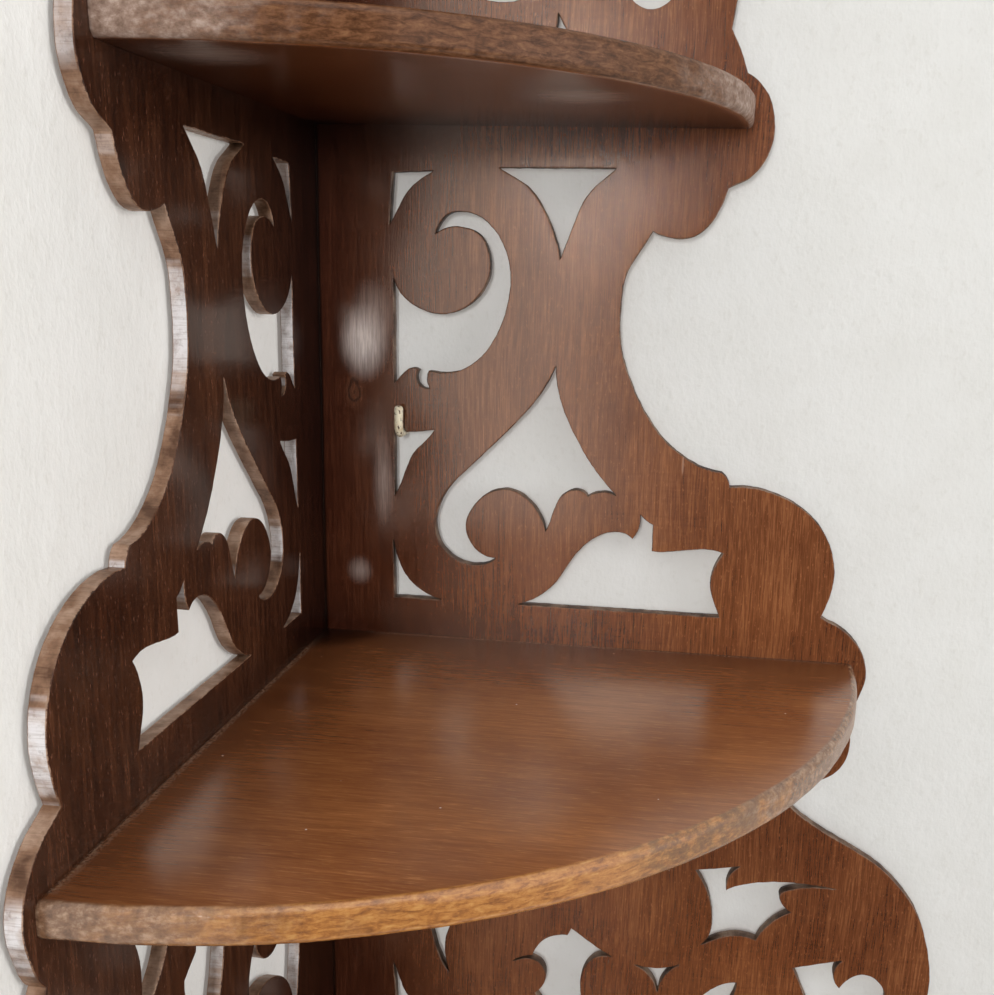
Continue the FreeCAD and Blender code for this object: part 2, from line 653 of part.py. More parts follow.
def make_screws(name, side, level, radius, row):
    """A shelf's row of slotted wood screws in one panel, heads flush with the panel's back."""
    body = new_body(f"{name}_screws_{side}")
    body.AllowCompound = True
    head, shank, core = size("screw_head"), size("screw_shank"), size("screw_core")
    profile = new_sketch(body, f"{name}_{side}_screw_profile", "XY_Plane")
    sink = (head - shank) / 2
    smooth_end = size("screw_long") / 3
    points = [(0, 0), (head / 2, 0), (shank / 2, sink), (shank / 2, smooth_end)]
    draw_profile(profile, points + ridged(smooth_end, size("screw_long"), shank, core, size("screw_thread_pitch")), -1)
    turned = spin(body, f"{name}_{side}_screw", profile)
    slot = new_sketch(body, f"{name}_{side}_slot_line", "XZ_Plane")
    half_long, half_wide = head, size("screw_slot_wide") / 2
    box = [Vector(-half_long, -half_wide), Vector(half_long, -half_wide), Vector(half_long, half_wide),
           Vector(-half_long, half_wide)]
    for a, b in zip(box, box[1:] + box[:1]):
        slot.addGeometry(Part.LineSegment(a, b))
    slotted = add_pocket(body, f"{name}_{side}_slot", slot, length="Sizes.screw_slot_deep")
    pattern(body, f"{name}_{side}_row", [turned, slotted], profile, "H_Axis", row_pitch(radius, row),
            f"Sizes.{row}", reverse=side == "left")
    middle = f"Sizes.{level} + Sizes.shelf_thickness / 2"
    first = "Sizes.panel_thickness + Sizes.screw_inset"
    if side == "left":
        body.Placement = Placement(Vector(), Rotation(Vector(0, 0, 1), 90))
        body.setExpression("Placement.Base.y", f"-({first})")
    else:
        body.setExpression("Placement.Base.x", first)
    body.setExpression("Placement.Base.z", middle)
    return body


screws = [make_screws(name, side, level, radius, row)
          for name, level, radius, row in SHELVES for side in ("left", "right")]

brads = new_body("corner_brads")
brads.AllowCompound = True
brad_profile = new_sketch(brads, "brad_profile", "XY_Plane")
draw_profile(brad_profile, [
    (0, 0), (size("brad_head") / 2, 0), (size("brad_head") / 2, size("brad_head_deep")),
    (size("brad_wide") / 2, size("brad_head_deep")), (size("brad_wide") / 2, size("brad_long") - 2),
    (0, size("brad_long")),
], -1)
brad = spin(brads, "brad", brad_profile)
brad_line = new_sketch(brads, "brad_line", "XZ_Plane")
brad_line.addGeometry(Part.LineSegment(Vector(0, 0), Vector(0, 10)))
brad_line.toggleConstruction(0)
pattern(brads, "brad_row", [brad], brad_line, "V_Axis", "Sizes.brad_pitch", "Sizes.brad_count")
brads.setExpression("Placement.Base.x", "Sizes.panel_thickness / 2")
brads.setExpression("Placement.Base.z", "Sizes.brad_foot")

# The hook's leg stands up in front of the right panel, and its thread goes into the wall.
hook = new_body("wall_hook")
wire = size("hook_wire")
leg_out = THICK + size("hook_standoff")
bend = size("hook_bend")

spine = new_sketch(hook, "hook_spine", "YZ_Plane")
spine.addGeometry(Part.LineSegment(Vector(0, 0), Vector(-leg_out + bend, 0)))
spine.addGeometry(Part.Arc(
    Vector(-leg_out + bend, 0),
    Vector(-leg_out + bend - bend * math.sin(math.pi / 4), bend - bend * math.cos(math.pi / 4)),
    Vector(-leg_out, bend)))
spine.addGeometry(Part.LineSegment(Vector(-leg_out, bend), Vector(-leg_out, size("hook_leg"))))
section = new_sketch(hook, "hook_section", "XZ_Plane")
section.addGeometry(Part.Circle(Vector(), Vector(0, 0, 1), wire / 2))
doc.recompute()
bent = hook.newObject("PartDesign::AdditivePipe", "hook_bent")
bent.Profile = section
bent.Spine = spine
doc.recompute()

thread = new_sketch(hook, "hook_thread_profile", "XY_Plane")
draw_profile(thread, [(0, 0), (wire / 2, 0), (wire / 2, 3)] + ridged(
    3, size("hook_in_wall"), wire, size("hook_core"), size("hook_thread_pitch")), 1)
threaded = spin(hook, "hook_thread", thread)

edges = threaded.Shape.Edges
top = max(range(len(edges)), key=lambda i: edges[i].BoundBox.ZMin)
dome = hook.newObject("PartDesign::Fillet", "hook_end")
dome.Base = (threaded, [f"Edge{top + 1}"])
dome.setExpression("Radius", "Sizes.hook_wire * 0.4")
hook.Placement = Placement(Vector(hook_x, 0, slot_z), Rotation())
doc.recompute()

# ---------------------------------------------------------------------------------------------------------------
# Checks and export
# ---------------------------------------------------------------------------------------------------------------

for thing in doc.Objects:
    if "Invalid" in thing.State or "Error" in thing.State:
        raise RuntimeError(f"{thing.Name}: {thing.State}")

for body in [left_panel, right_panel, *shelves, *screws, brads, hook]:
    shape = body.Shape
    if shape.isNull() or not shape.isValid() or not shape.Solids:
        raise RuntimeError(f"{body.Label} is not a valid solid")
    shape.exportStep(f"parts/{body.Label}.step")
    box = shape.BoundBox
    print(f"{body.Label:22s} {len(shape.Solids)} solids {shape.Volume:12.1f} mm3  "
          f"x {box.XMin:7.1f} {box.XMax:7.1f}  y {box.YMin:7.1f} {box.YMax:7.1f}  z {box.ZMin:7.1f} {box.ZMax:7.1f}")
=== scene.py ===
import logging
import math
from dataclasses import dataclass
from enum import Enum

import bmesh
import bpy
import numpy as np
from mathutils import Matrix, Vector
from mathutils.geometry import delaunay_2d_cdt


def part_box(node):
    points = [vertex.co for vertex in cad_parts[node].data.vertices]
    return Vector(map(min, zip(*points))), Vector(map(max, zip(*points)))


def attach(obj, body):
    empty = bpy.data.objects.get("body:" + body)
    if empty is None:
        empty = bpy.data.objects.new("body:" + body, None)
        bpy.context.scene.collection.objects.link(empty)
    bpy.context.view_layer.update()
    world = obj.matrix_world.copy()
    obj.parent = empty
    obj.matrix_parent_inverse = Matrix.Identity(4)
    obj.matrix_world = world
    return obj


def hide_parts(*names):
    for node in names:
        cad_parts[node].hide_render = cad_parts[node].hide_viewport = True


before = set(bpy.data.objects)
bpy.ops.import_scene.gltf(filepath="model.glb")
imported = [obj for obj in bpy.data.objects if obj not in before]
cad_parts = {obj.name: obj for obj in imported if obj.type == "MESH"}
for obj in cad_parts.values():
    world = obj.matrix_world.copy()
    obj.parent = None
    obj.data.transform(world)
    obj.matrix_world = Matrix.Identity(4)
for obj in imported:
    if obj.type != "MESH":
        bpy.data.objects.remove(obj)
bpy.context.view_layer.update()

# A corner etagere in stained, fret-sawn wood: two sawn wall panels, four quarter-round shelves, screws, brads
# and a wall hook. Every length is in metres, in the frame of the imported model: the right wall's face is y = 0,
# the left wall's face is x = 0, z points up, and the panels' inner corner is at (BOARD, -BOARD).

log = logging.getLogger("etagere")

Colour = tuple[int, int, int]
Triple = tuple[float, float, float]
Socket = bpy.types.NodeSocket
Material = bpy.types.Material

BOARD = 0.0065
QUARTER = math.pi / 2
FULL_TURN = 2 * math.pi
SHELVES = ("lower_shelf", "middle_shelf", "upper_shelf", "top_shelf")


class Axis(Enum):
    """A direction of the frame, by its place in a point."""

    X = 0
    Y = 1
    Z = 2


class Layer(Enum):
    """A layer of a board's grain: spots to the metre across and along the fibres, detail and roughness."""

    BAND = (34, 2, 3, 0.5)
    STREAK = (480, 16, 4, 0.62)
    FIBRE = (1500, 60, 3, 0.65)
    PORE = (3400, 420, 2, 0.5)
    RIPPLE = (48, 420, 3, 0.6)
    FLECK = (900, 300, 3, 0.6)
    GOLD = (1100, 95, 4, 0.66)


class Cut(Enum):
    """How deep the saw went: through the board, or into a pocket on its front or its back."""

    THROUGH = 0
    FRONT = 1
    BACK = 2


def linear(colour: Colour) -> tuple[float, float, float, float]:
    """A display colour of 0 to 255 as the light that a shader takes.

    Args:
        colour: Red, green and blue as a screen shows them.

    Returns:
        Red, green, blue and an alpha of 1, each from 0 to 1.
    """
    shares = np.array(colour, float) / 255
    light = np.where(shares <= 0.04045, shares / 12.92, ((shares + 0.055) / 1.055) ** 2.4)
    return (*map(float, light), 1.0)


def put(name: str, data: bpy.types.ID) -> bpy.types.Object:
    """Put a mesh, a lamp or a camera into the scene.

    Args:
        name: The object's name.
        data: What it shows.

    Returns:
        The new object, at the origin.
    """
    made = bpy.data.objects.new(name, data)
    bpy.context.scene.collection.objects.link(made)
    return made


class Bench:
    """One material's shader nodes, laid out and joined by short calls."""

    def __init__(self, name: str) -> None:
        """Start a material with one principled shader.

        Args:
            name: The material's name.
        """
        self.material = bpy.data.materials.new(name)
        self.material.use_nodes = True
        self.tree = self.material.node_tree
        self.tree.nodes.clear()
        self.output = self.node("OutputMaterial")
        self.shader = self.node("BsdfPrincipled")
        self.feed(self.output.inputs["Surface"], self.shader.outputs["BSDF"])
        place = self.node("TexCoord")
        self.point, self.skin = place.outputs["Object"], place.outputs["UV"]

    def feed(self, socket: Socket, value: object) -> None:
        """Join an output to a socket, or set the socket's own value.

        Args:
            socket: The input to fill.
            value: An output socket, a number or a tuple.
        """
        if isinstance(value, Socket):
            self.tree.links.new(value, socket)
        else:
            socket.default_value = value

    def node(self, kind: str, inputs: dict | None = None, **settings: object) -> bpy.types.Node:
        """Add a node.

        Args:
            kind: The node's type, after the word ShaderNode.
            inputs: What goes into each named or numbered input.
            **settings: The node's own properties.

        Returns:
            The new node.
        """
        made = self.tree.nodes.new("ShaderNode" + kind)
        for key, value in settings.items():
            setattr(made, key, value)
        for key, value in (inputs or {}).items():
            self.feed(made.inputs[key], value)
        return made

    def dress(self, **sockets: object) -> None:
        """Fill the principled shader's inputs with values or outputs; an underscore stands for a space."""
        for key, value in sockets.items():
            self.feed(self.shader.inputs[key.replace("_", " ")], value)

    def clear(self, share: Socket) -> None:
        """Let rays pass straight through the surface.

        Args:
            share: How much passes, from 0 to 1.
        """
        clear = self.node("BsdfTransparent").outputs["BSDF"]
        mixed = self.node("MixShader", {0: share, 1: self.shader.outputs["BSDF"], 2: clear})
        self.feed(self.output.inputs["Surface"], mixed.outputs[0])

    def maths(self, operation: str, *values: object) -> Socket:
        """The result of one of the Math node's operations on one to three values."""
        return self.node("Math", dict(enumerate(values)), operation=operation).outputs[0]

    def times(self, first: Socket, second: object) -> Socket:
        """The product of two values."""
        return self.maths("MULTIPLY", first, second)

    def mean(self, first: Socket, second: Socket, share: float) -> Socket:
        """The weighted mean of two values, of which the first has the given share."""
        return self.maths("ADD", self.times(first, share), self.times(second, 1 - share))

    def vector(self, operation: str, *values: object) -> Socket:
        """The vector that one of the Vector Math node's operations makes of one to three vectors."""
        return self.node("VectorMath", dict(enumerate(values)), operation=operation).outputs[0]

    def split(self, vector: Socket, axis: Axis) -> Socket:
        """One part of a vector."""
        return self.node("SeparateXYZ", {0: vector}).outputs[axis.value]

    def at(self, axis: Axis) -> Socket:
        """The point's place along one axis."""
        return self.split(self.point, axis)

    def below(self, vector: Socket) -> Socket:
        """A vector's part along -y, which points from the right wall into the room."""
        return self.times(self.split(vector, Axis.Y), -1.0)

    def distance(self, place: Triple, scale: Triple = (1.0, 1.0, 1.0)) -> Socket:
        """How far the point is from a place, after each axis is scaled by its factor."""
        apart = self.vector("MULTIPLY", self.vector("SUBTRACT", self.point, place), scale)
        return self.node("VectorMath", {0: apart}, operation="LENGTH").outputs["Value"]

    def stretch(self, scale: float | Triple, shift: Triple, point: Socket | None = None) -> Socket:
        """Scale a place, or else the point on the object, by one factor or one an axis, and shift it."""
        each = scale if isinstance(scale, tuple) else (scale,) * 3
        inputs = {"Vector": self.point if point is None else point, "Scale": each, "Location": shift}
        return self.node("Mapping", inputs).outputs["Vector"]

    def noise(self, scale: float | Triple, detail: float = 2.0, rough: float = 0.5,
              shift: Triple = (0, 0, 0), point: Socket | None = None, bend: float = 0.0) -> Socket:
        """Smooth random grey of the given fineness.

        Args:
            scale: Spots to the metre, one number or one for each axis.
            detail: How many finer layers it holds.
            rough: How strong the finer layers are.
            shift: Moves the pattern, so that two layers differ.
            point: The place, if it isn't the point on the object.
            bend: How far it distorts itself.

        Returns:
            A value from about 0 to 1.
        """
        inputs = {"Scale": 1.0, "Detail": detail, "Roughness": rough, "Distortion": bend}
        return self.node("TexNoise", {"Vector": self.stretch(scale, shift, point), **inputs}).outputs["Fac"]

    def laid(self, layer: Layer, grain: Axis, coarse: float = 1.0, shift: Triple = (0, 0, 0),
             point: Socket | None = None) -> Socket:
        """One layer of a board's grain.

        Args:
            layer: The layer.
            grain: The way that the fibres run.
            coarse: Widens the layer's spots where it is below 1.
            shift: Moves the pattern.
            point: The place, if it isn't the point on the object.

        Returns:
            A value from about 0 to 1.
        """
        across, along, detail, rough = layer.value
        scale = tuple(along if axis is grain else across * coarse for axis in Axis)
        return self.noise(scale, detail, rough, shift, point)

    def fibres(self, grain: Axis, coarse: float = 1.0) -> tuple[Socket, Socket, Socket]:
        """Lay the grain: bands, streaks and fine pores that follow slightly wavy fibres.

        Args:
            grain: The way that the fibres run.
            coarse: Widens the fibres where it is below 1.

        Returns:
            The grain's lightness, its fine fibres and its pores, each from 0 to 1.
        """
        waves = self.node("TexNoise", {"Vector": self.point, "Scale": 9.0, "Detail": 1.0}).outputs["Color"]
        sway = self.vector("SUBTRACT", waves, (0.5, 0.5, 0.5))
        point = self.vector("MULTIPLY_ADD", sway, (0.006, 0.006, 0.006), self.point)
        band = self.laid(Layer.BAND, grain, point=point)
        streak = self.laid(Layer.STREAK, grain, coarse, point=point)
        fine = self.span(self.laid(Layer.FIBRE, grain, coarse, point=point), 0.28, 0.72)
        pores = self.span(self.laid(Layer.PORE, grain, coarse, point=point), 0.54, 0.76)
        return self.span(self.mean(band, streak, 0.35), 0.30, 0.70), fine, pores

    def span(self, value: Socket, low: float, high: float, start: float = 0.0, end: float = 1.0) -> Socket:
        """Turn the range from low to high smoothly into the range from start to end, held at its ends."""
        inputs = {"Value": value, "From Min": low, "From Max": high, "To Min": start, "To Max": end}
        return self.node("MapRange", inputs, interpolation_type="SMOOTHSTEP").outputs["Result"]

    def blend(self, under: object, over: Socket | Colour, share: Socket) -> Socket:
        """Lay a colour, given as an output or as a screen shows it, over another by a share from 0 to 1."""
        top = linear(over) if isinstance(over, tuple) else over
        return self.node("Mix", {0: share, 6: under, 7: top}, data_type="RGBA", blend_type="MIX").outputs[2]

    def darken(self, under: object, filtered: Triple, share: Socket) -> Socket:
        """Filter a colour's light as a glaze does, which leaves the given parts of red, green and blue."""
        inputs = {0: share, 6: under, 7: (*filtered, 1)}
        return self.node("Mix", inputs, data_type="RGBA", blend_type="MULTIPLY").outputs[2]

    def ramp(self, value: Socket, stops: tuple[float, ...], colours: tuple[Colour, ...]) -> Socket:
        """Turn a value into a colour.

        Args:
            value: From 0 to 1.
            stops: Where each colour stands.
            colours: The colours.

        Returns:
            The colour.
        """
        made = self.node("ValToRGB", {"Fac": value})
        knots = made.color_ramp.elements
        while len(knots) < len(stops):
            knots.new(1.0)
        for knot, stop, colour in zip(knots, stops, colours):
            knot.position, knot.color = stop, linear(colour)
        return made.outputs["Color"]

    def relief(self, height: Socket, depth: float, strength: float, under: Socket | None = None) -> Socket:
        """Raise the surface by a height pattern.

        Args:
            height: The pattern, from 0 to 1.
            depth: Its full height in metres.
            strength: How much of it counts.
            under: A relief that lies below it.

        Returns:
            The bent normal.
        """
        inputs = {"Height": height, "Distance": depth, "Strength": strength}
        if under is not None:
            inputs["Normal"] = under
        return self.node("Bump", inputs).outputs["Normal"]


@dataclass(frozen=True)
class Patch:
    """A place where a board differs from the rest: a painted reflection on the varnish, a painted patch of light
    or shade, or a scratch.
    """

    place: Triple
    wide: float
    tall: float
    share: float
    colour: Colour = (200, 182, 172)
    softness: float = 1.0

    def lay(self, bench: Bench, colour: Socket, texture: Socket) -> Socket:
        """Lay the patch over the wood.

        Args:
            bench: The material's nodes.
            colour: The wood's colour.
            texture: A pattern from 0 to 1 that breaks the patch up.

        Returns:
            The new colour.
        """
        apart = bench.distance(self.place, (1 / self.wide, 1 / self.wide, 1 / self.tall))
        within = bench.span(apart, 1.0 - self.softness, 1.0, self.share, 0.0)
        return bench.blend(colour, self.colour, bench.times(within, texture))


@dataclass(frozen=True)
class StainedWood:
    """Stained and varnished wood with fibres, pores, uneven stain and worn sawn edges, with painted shade in the
    corner and beside the shelves, a painted highlight on the sawn edges that face the room, and painted patches
    of light, shade and reflection.
    """

    name: str
    face: Axis
    shelves: tuple[float, ...]
    grain: Axis = Axis.Z
    tones: tuple[Colour, Colour, Colour] = ((92, 50, 28), (117, 68, 38), (148, 94, 57))
    edge: tuple[Colour, Colour, Colour] = ((52, 38, 30), (88, 68, 55), (130, 108, 90))
    edge_sheen: Colour = (204, 200, 200)
    fleck: Colour = (186, 122, 80)
    raw_back: Colour = (112, 80, 56)
    knot_disc: Colour = (112, 72, 52)
    knot_ring: Colour = (34, 20, 16)
    shelf_shade: Triple = (0.45, 0.38, 0.40)
    corner_shade: Triple = (0.18, 0.115, 0.17)
    crevice_shadow: Triple = (0.05, 0.04, 0.04)
    edge_gloss: float = 0.2
    edge_sheen_share: float = 0.0
    flecked: float = 0.36
    corner: float = 0.90
    coarse: float = 1.0
    gloss: float = 2.15
    varnish: float = 0.17
    depth: float = 0.00008
    knot: Triple | None = None
    patches: tuple[Patch, ...] = ()

    def stain(self, bench: Bench, colour: Socket, pores: Socket) -> Socket:
        """Darken the wood unevenly: blotches, ripples across the grain and pores; and scatter pale flecks.

        Args:
            bench: The material's nodes.
            colour: The wood's colour.
            pores: Its pores.

        Returns:
            The stained colour.
        """
        blotch = bench.noise(13, 4, 0.6, (3.1, 1.7, 0.4))
        colour = bench.darken(colour, (0.62, 0.50, 0.46), bench.span(blotch, 0.40, 0.68, 0, 0.75))
        ripple = bench.laid(Layer.RIPPLE, self.grain, shift=(8.2, 4.4, 6.1))
        where = bench.noise(16, shift=(1.9, 7.3, 2.6))
        share = bench.times(bench.span(ripple, 0.46, 0.66), bench.span(where, 0.46, 0.62, 0.06, 0.28))
        colour = bench.darken(colour, (0.60, 0.50, 0.46), share)
        colour = bench.darken(colour, (0.34, 0.26, 0.22), bench.times(pores, 0.24))
        flecks = bench.laid(Layer.FLECK, self.grain, shift=(2.2, 5.8, 9.1))
        return bench.blend(colour, self.fleck, bench.span(flecks, 0.58, 0.72, 0, self.flecked))

    def age(self, bench: Bench, colour: Socket) -> Socket:
        """Paint shade into the corner, a shadow into its crevice and shade onto the wood beside the shelves, and
        ring the knot.

        Args:
            bench: The material's nodes.
            colour: The stained colour.

        Returns:
            The colour with its painted shade and the ringed knot.
        """
        # Painted shade: the wood darkens towards the corner, where little light reaches.
        away = bench.at(Axis.X) if self.face is Axis.Y else bench.below(bench.point)
        colour = bench.darken(colour, self.corner_shade, bench.span(away, 0.012, 0.13, self.corner, 0.0))
        # Painted shadow: a dark line in the crevice where the panels meet.
        colour = bench.darken(colour, self.crevice_shadow, bench.span(away, 0.0070, 0.0084, 0.9, 0.0))
        # Painted shade on the wood just above and below each shelf, strongest near the corner.
        for level in self.shelves:
            apart = bench.maths("ABSOLUTE", bench.maths("SUBTRACT", bench.at(Axis.Z), level))
            near = bench.span(apart, 0.010, 0.034, 0.7, 0.0)
            share = bench.times(near, bench.span(away, 0.13, 0.21, 1, 0.2))
            colour = bench.darken(colour, self.shelf_shade, share)
        if self.knot:
            radius = bench.distance(self.knot, (1.0, 0.0, 0.55))
            radius = bench.maths("ADD", radius, bench.times(bench.noise(160), 0.003))
            ring = bench.span(bench.maths("PINGPONG", radius, 0.0015), 0.0006, 0.0015)
            near = bench.span(radius, 0.0042, 0.0078, 1.0, 0.0)
            colour = bench.blend(colour, self.knot_disc, bench.times(near, 0.35))
            colour = bench.blend(colour, self.knot_ring, bench.times(bench.times(ring, near), 0.85))
        return colour

    def edge_wear_and_sheen(self, bench: Bench) -> Socket:
        """Colour the sawn edges: patches under fine saw marks, with a painted highlight, broken up like wear,
        where they bulge towards the room.

        Args:
            bench: The material's nodes.

        Returns:
            The colour.
        """
        colour = bench.ramp(bench.noise(70, 4, 0.6), (0.34, 0.48, 0.64), self.edge)
        # Painted highlight: edges that face the room turn pale as the varnish's reflection would, half as strong
        # higher up.
        facing = bench.span(bench.below(bench.node("NewGeometry").outputs["Normal"]), 0.91, 1.0)
        rubbed = bench.span(bench.noise(150, 4, 0.65, (6, 2, 8)), 0.25, 0.60, 0.35, 1.0)
        high = bench.span(bench.at(Axis.Z), 0.66, 0.74, self.edge_sheen_share, self.edge_sheen_share * 0.5)
        colour = bench.blend(colour, self.edge_sheen, bench.times(bench.times(facing, rubbed), high))
        marks = bench.noise((1500, 90, 1), 2, 0.6, point=bench.skin)
        return bench.darken(colour, (0.30, 0.22, 0.18), bench.span(marks, 0.45, 0.75, 0, 0.4))

    def make(self) -> Material:
        """Lay out the whole finish.

        Returns:
            The material.
        """
        bench = Bench(self.name)
        light, fine, pores = bench.fibres(self.grain, self.coarse)
        colour = bench.ramp(bench.mean(light, fine, 0.45), (0.10, 0.50, 0.90), self.tones)
        colour = self.age(bench, self.stain(bench, colour, pores))
        brushed = bench.times(bench.span(fine, 0, 1, 0.62, 1.0), bench.span(light, 0, 1, 0.85, 1.0))
        for patch in self.patches:
            colour = patch.lay(bench, colour, brushed)
        ragged = bench.span(bench.noise(700, 3, 0.6), 0.3, 0.7, -0.35, 0.35)
        mark = bench.node("Attribute", attribute_name="sawn").outputs["Fac"]
        sawn = bench.span(bench.maths("ADD", mark, ragged), 0.3, 0.8)
        colour = bench.blend(colour, self.edge_wear_and_sheen(bench), sawn)
        back = bench.span(bench.maths("ABSOLUTE", bench.at(self.face)), 0.0002, 0.0006, 1.0, 0.0)
        colour = bench.blend(colour, self.raw_back, bench.times(back, 0.35))
        coat = bench.times(bench.span(back, 0, 1, 1.0, 0.15), bench.span(sawn, 0, 1, 1.0, self.edge_gloss))
        bench.dress(Base_Color=colour, Roughness=bench.span(light, 0, 1, 0.5, 0.38), Specular_IOR_Level=0.0,
                    Normal=bench.relief(bench.maths("SUBTRACT", fine, pores), self.depth, 0.8),
                    Coat_Weight=coat, Coat_Roughness=self.varnish, Coat_IOR=self.gloss,
                    Coat_Normal=bench.relief(fine, self.depth * 0.16, 0.8))
        return bench.material


@dataclass(frozen=True)
class ShelfWood:
    """The finish of a shelf: long straight grain on its faces, and a rim whose wear changes along it."""

    name: str
    rim: tuple[Colour, ...] = ((116, 72, 40), (146, 94, 48), (166, 112, 58), (184, 134, 78))
    ends: tuple[Colour, Colour, Colour] = ((78, 54, 39), (110, 82, 63), (150, 124, 103))
    tones: tuple[Colour, Colour, Colour] = ((122, 72, 39), (138, 84, 46), (158, 101, 57))
    gold: Colour = (186, 130, 78)
    crack: Colour = (88, 62, 40)
    rubbed_line: Colour = (150, 132, 114)
    dust: Colour = (214, 208, 200)
    crackle: Triple | None = None
    rim_gloss: float = 1.0
    greyed: tuple[tuple[float, float], ...] = ((0.0, 0.12), (0.150, 0.195))
    patches: tuple[Patch, ...] = ()

    def rubbed(self, bench: Bench, left: Socket, right: Socket) -> Socket:
        """Colour the rim: fine lines along it, speckled and greyer at its ends, crackled dark at one place.

        Args:
            bench: The material's nodes.
            left: The distance to the left wall.
            right: The distance to the right wall.

        Returns:
            The colour.
        """
        lines = bench.noise((150, 560, 1), 5, 0.66, point=bench.skin, bend=0.6)
        specks = bench.noise((560, 620, 1), 4, 0.65, point=bench.skin)
        colour = bench.ramp(bench.mean(lines, specks, 0.75), (0.36, 0.46, 0.54, 0.66), self.rim)
        soft = bench.noise((240, 300, 1), 5, 0.68, point=bench.skin)
        greyed = bench.ramp(soft, (0.34, 0.50, 0.66), self.ends)
        wander = bench.span(bench.noise((60, 60, 1), 4, 0.6, point=bench.skin), 0.3, 0.7, -0.025, 0.025)
        shares = [bench.span(bench.maths("ADD", gap, wander), start, end, 0.95, 0.0)
                  for gap, (start, end) in zip((left, right), self.greyed)]
        colour = bench.blend(colour, greyed, bench.maths("MAXIMUM", *shares))
        if self.crackle:
            near = bench.span(bench.distance(self.crackle), 0.020, 0.046, 0.80, 0.0)
            cracks = bench.span(bench.noise((230, 300, 1), 5, 0.72, point=bench.skin), 0.38, 0.60, 0.2, 1.0)
            colour = bench.blend(colour, self.crack, bench.times(near, cracks))
        return colour

    def make(self) -> Material:
        """Lay out the whole finish.

        Returns:
            The material.
        """
        bench = Bench(self.name)
        light, fine, pores = bench.fibres(Axis.X)
        colour = bench.ramp(bench.mean(light, fine, 0.5), (0.05, 0.50, 0.95), self.tones)
        blotch = bench.noise(13, 4, 0.55, (5.1, 2.7, 7.4))
        colour = bench.darken(colour, (0.66, 0.56, 0.52), bench.span(blotch, 0.38, 0.66, 0, 0.7))
        colour = bench.darken(colour, (0.36, 0.28, 0.24), bench.times(pores, 0.06))
        streaks = bench.laid(Layer.GOLD, Axis.X, shift=(4.3, 6.2, 0.0))
        colour = bench.blend(colour, self.gold, bench.span(streaks, 0.54, 0.72, 0.0, 0.42))
        left, right = bench.at(Axis.X), bench.below(bench.point)
        # Painted shade: the shelf darkens near the panels, most of all in the corner.
        near = bench.span(bench.maths("MINIMUM", left, right), 0.006, 0.085, 0.8, 0.0)
        colour = bench.darken(colour, (0.36, 0.30, 0.30), near)
        across = bench.split(bench.skin, Axis.Y)
        above = bench.span(across, -0.004, -0.002, 1.0, 0.0)
        # Painted shade on the shelf's underside.
        under = bench.span(across, 0.0172, 0.0200)
        colour = bench.darken(colour, (0.50, 0.44, 0.46), under)
        grit = bench.span(bench.noise(900, 3, 0.7), 0.40, 0.62)
        for gap, amount in ((left, 0.45), (right, 0.40)):
            line = bench.times(bench.span(gap, BOARD + 0.0012, BOARD + 0.0046, amount, 0.0), above)
            colour = bench.blend(colour, self.rubbed_line, bench.times(line, grit))
        dots = bench.node("TexVoronoi", {"Vector": bench.stretch(62, (3, 1, 0)), "Scale": 1.0})
        specks = bench.span(dots.outputs["Distance"], 0.018, 0.032, 0.8, 0.0)
        colour = bench.blend(colour, self.dust, bench.times(specks, above))
        brushed = bench.span(fine, 0, 1, 0.55, 1.0)
        for patch in self.patches:
            colour = patch.lay(bench, colour, brushed)
        rim = bench.times(bench.span(across, -0.0005, 0.0012), bench.span(across, 0.0155, 0.0172, 1.0, 0.0))
        colour = bench.blend(colour, self.rubbed(bench, left, right), rim)
        coat = bench.times(bench.span(under, 0, 1, 1.0, 0.6), bench.span(rim, 0, 1, 1.0, self.rim_gloss))
        bench.dress(Base_Color=colour, Roughness=bench.span(light, 0, 1, 0.52, 0.42), Specular_IOR_Level=0.0,
                    Normal=bench.relief(bench.maths("SUBTRACT", fine, pores), 0.00006, 0.7),
                    Coat_Weight=coat, Coat_Roughness=0.24, Coat_IOR=1.95,
                    Coat_Normal=bench.relief(fine, 0.000006, 0.7))
        return bench.material


@dataclass(frozen=True)
class AgedSteel:
    """Dull steel with a brown bloom of rust."""

    name: str
    bright: Colour = (120, 112, 102)
    rust: Colour = (78, 46, 28)

    def make(self) -> Material:
        """Lay out the finish.

        Returns:
            The material.
        """
        bench = Bench(self.name)
        bloom = bench.noise(700, 4, 0.6)
        colour = bench.blend(linear(self.bright), self.rust, bench.span(bloom, 0.42, 0.6))
        bench.dress(Base_Color=colour, Metallic=bench.span(bloom, 0.45, 0.6, 0.9, 0.1),
                    Roughness=bench.span(bloom, 0.4, 0.6, 0.4, 0.8), Normal=bench.relief(bloom, 0.00008, 0.6))
        return bench.material


@dataclass(frozen=True)
class ChippedPaint:
    """Old cream paint on a steel hook, chipped to rust."""

    name: str
    paint: Colour = (222, 212, 186)
    stain: Colour = (176, 150, 112)
    bare: Colour = (60, 38, 26)

    def make(self) -> Material:
        """Lay out the finish.

        Returns:
            The material.
        """
        bench = Bench(self.name)
        tint = bench.noise((260, 260, 200), 3, 0.6)
        chips = bench.span(bench.noise((620, 620, 420), 4, 0.65, (4, 9, 2)), 0.55, 0.60)
        colour = bench.blend(linear(self.paint), self.stain, bench.span(tint, 0.45, 0.7))
        colour = bench.blend(colour, self.bare, chips)
        bench.dress(Base_Color=colour, Roughness=bench.span(chips, 0, 1, 0.38, 0.8),
                    Normal=bench.relief(bench.times(chips, -1.0), 0.00015, 0.8))
        return bench.material


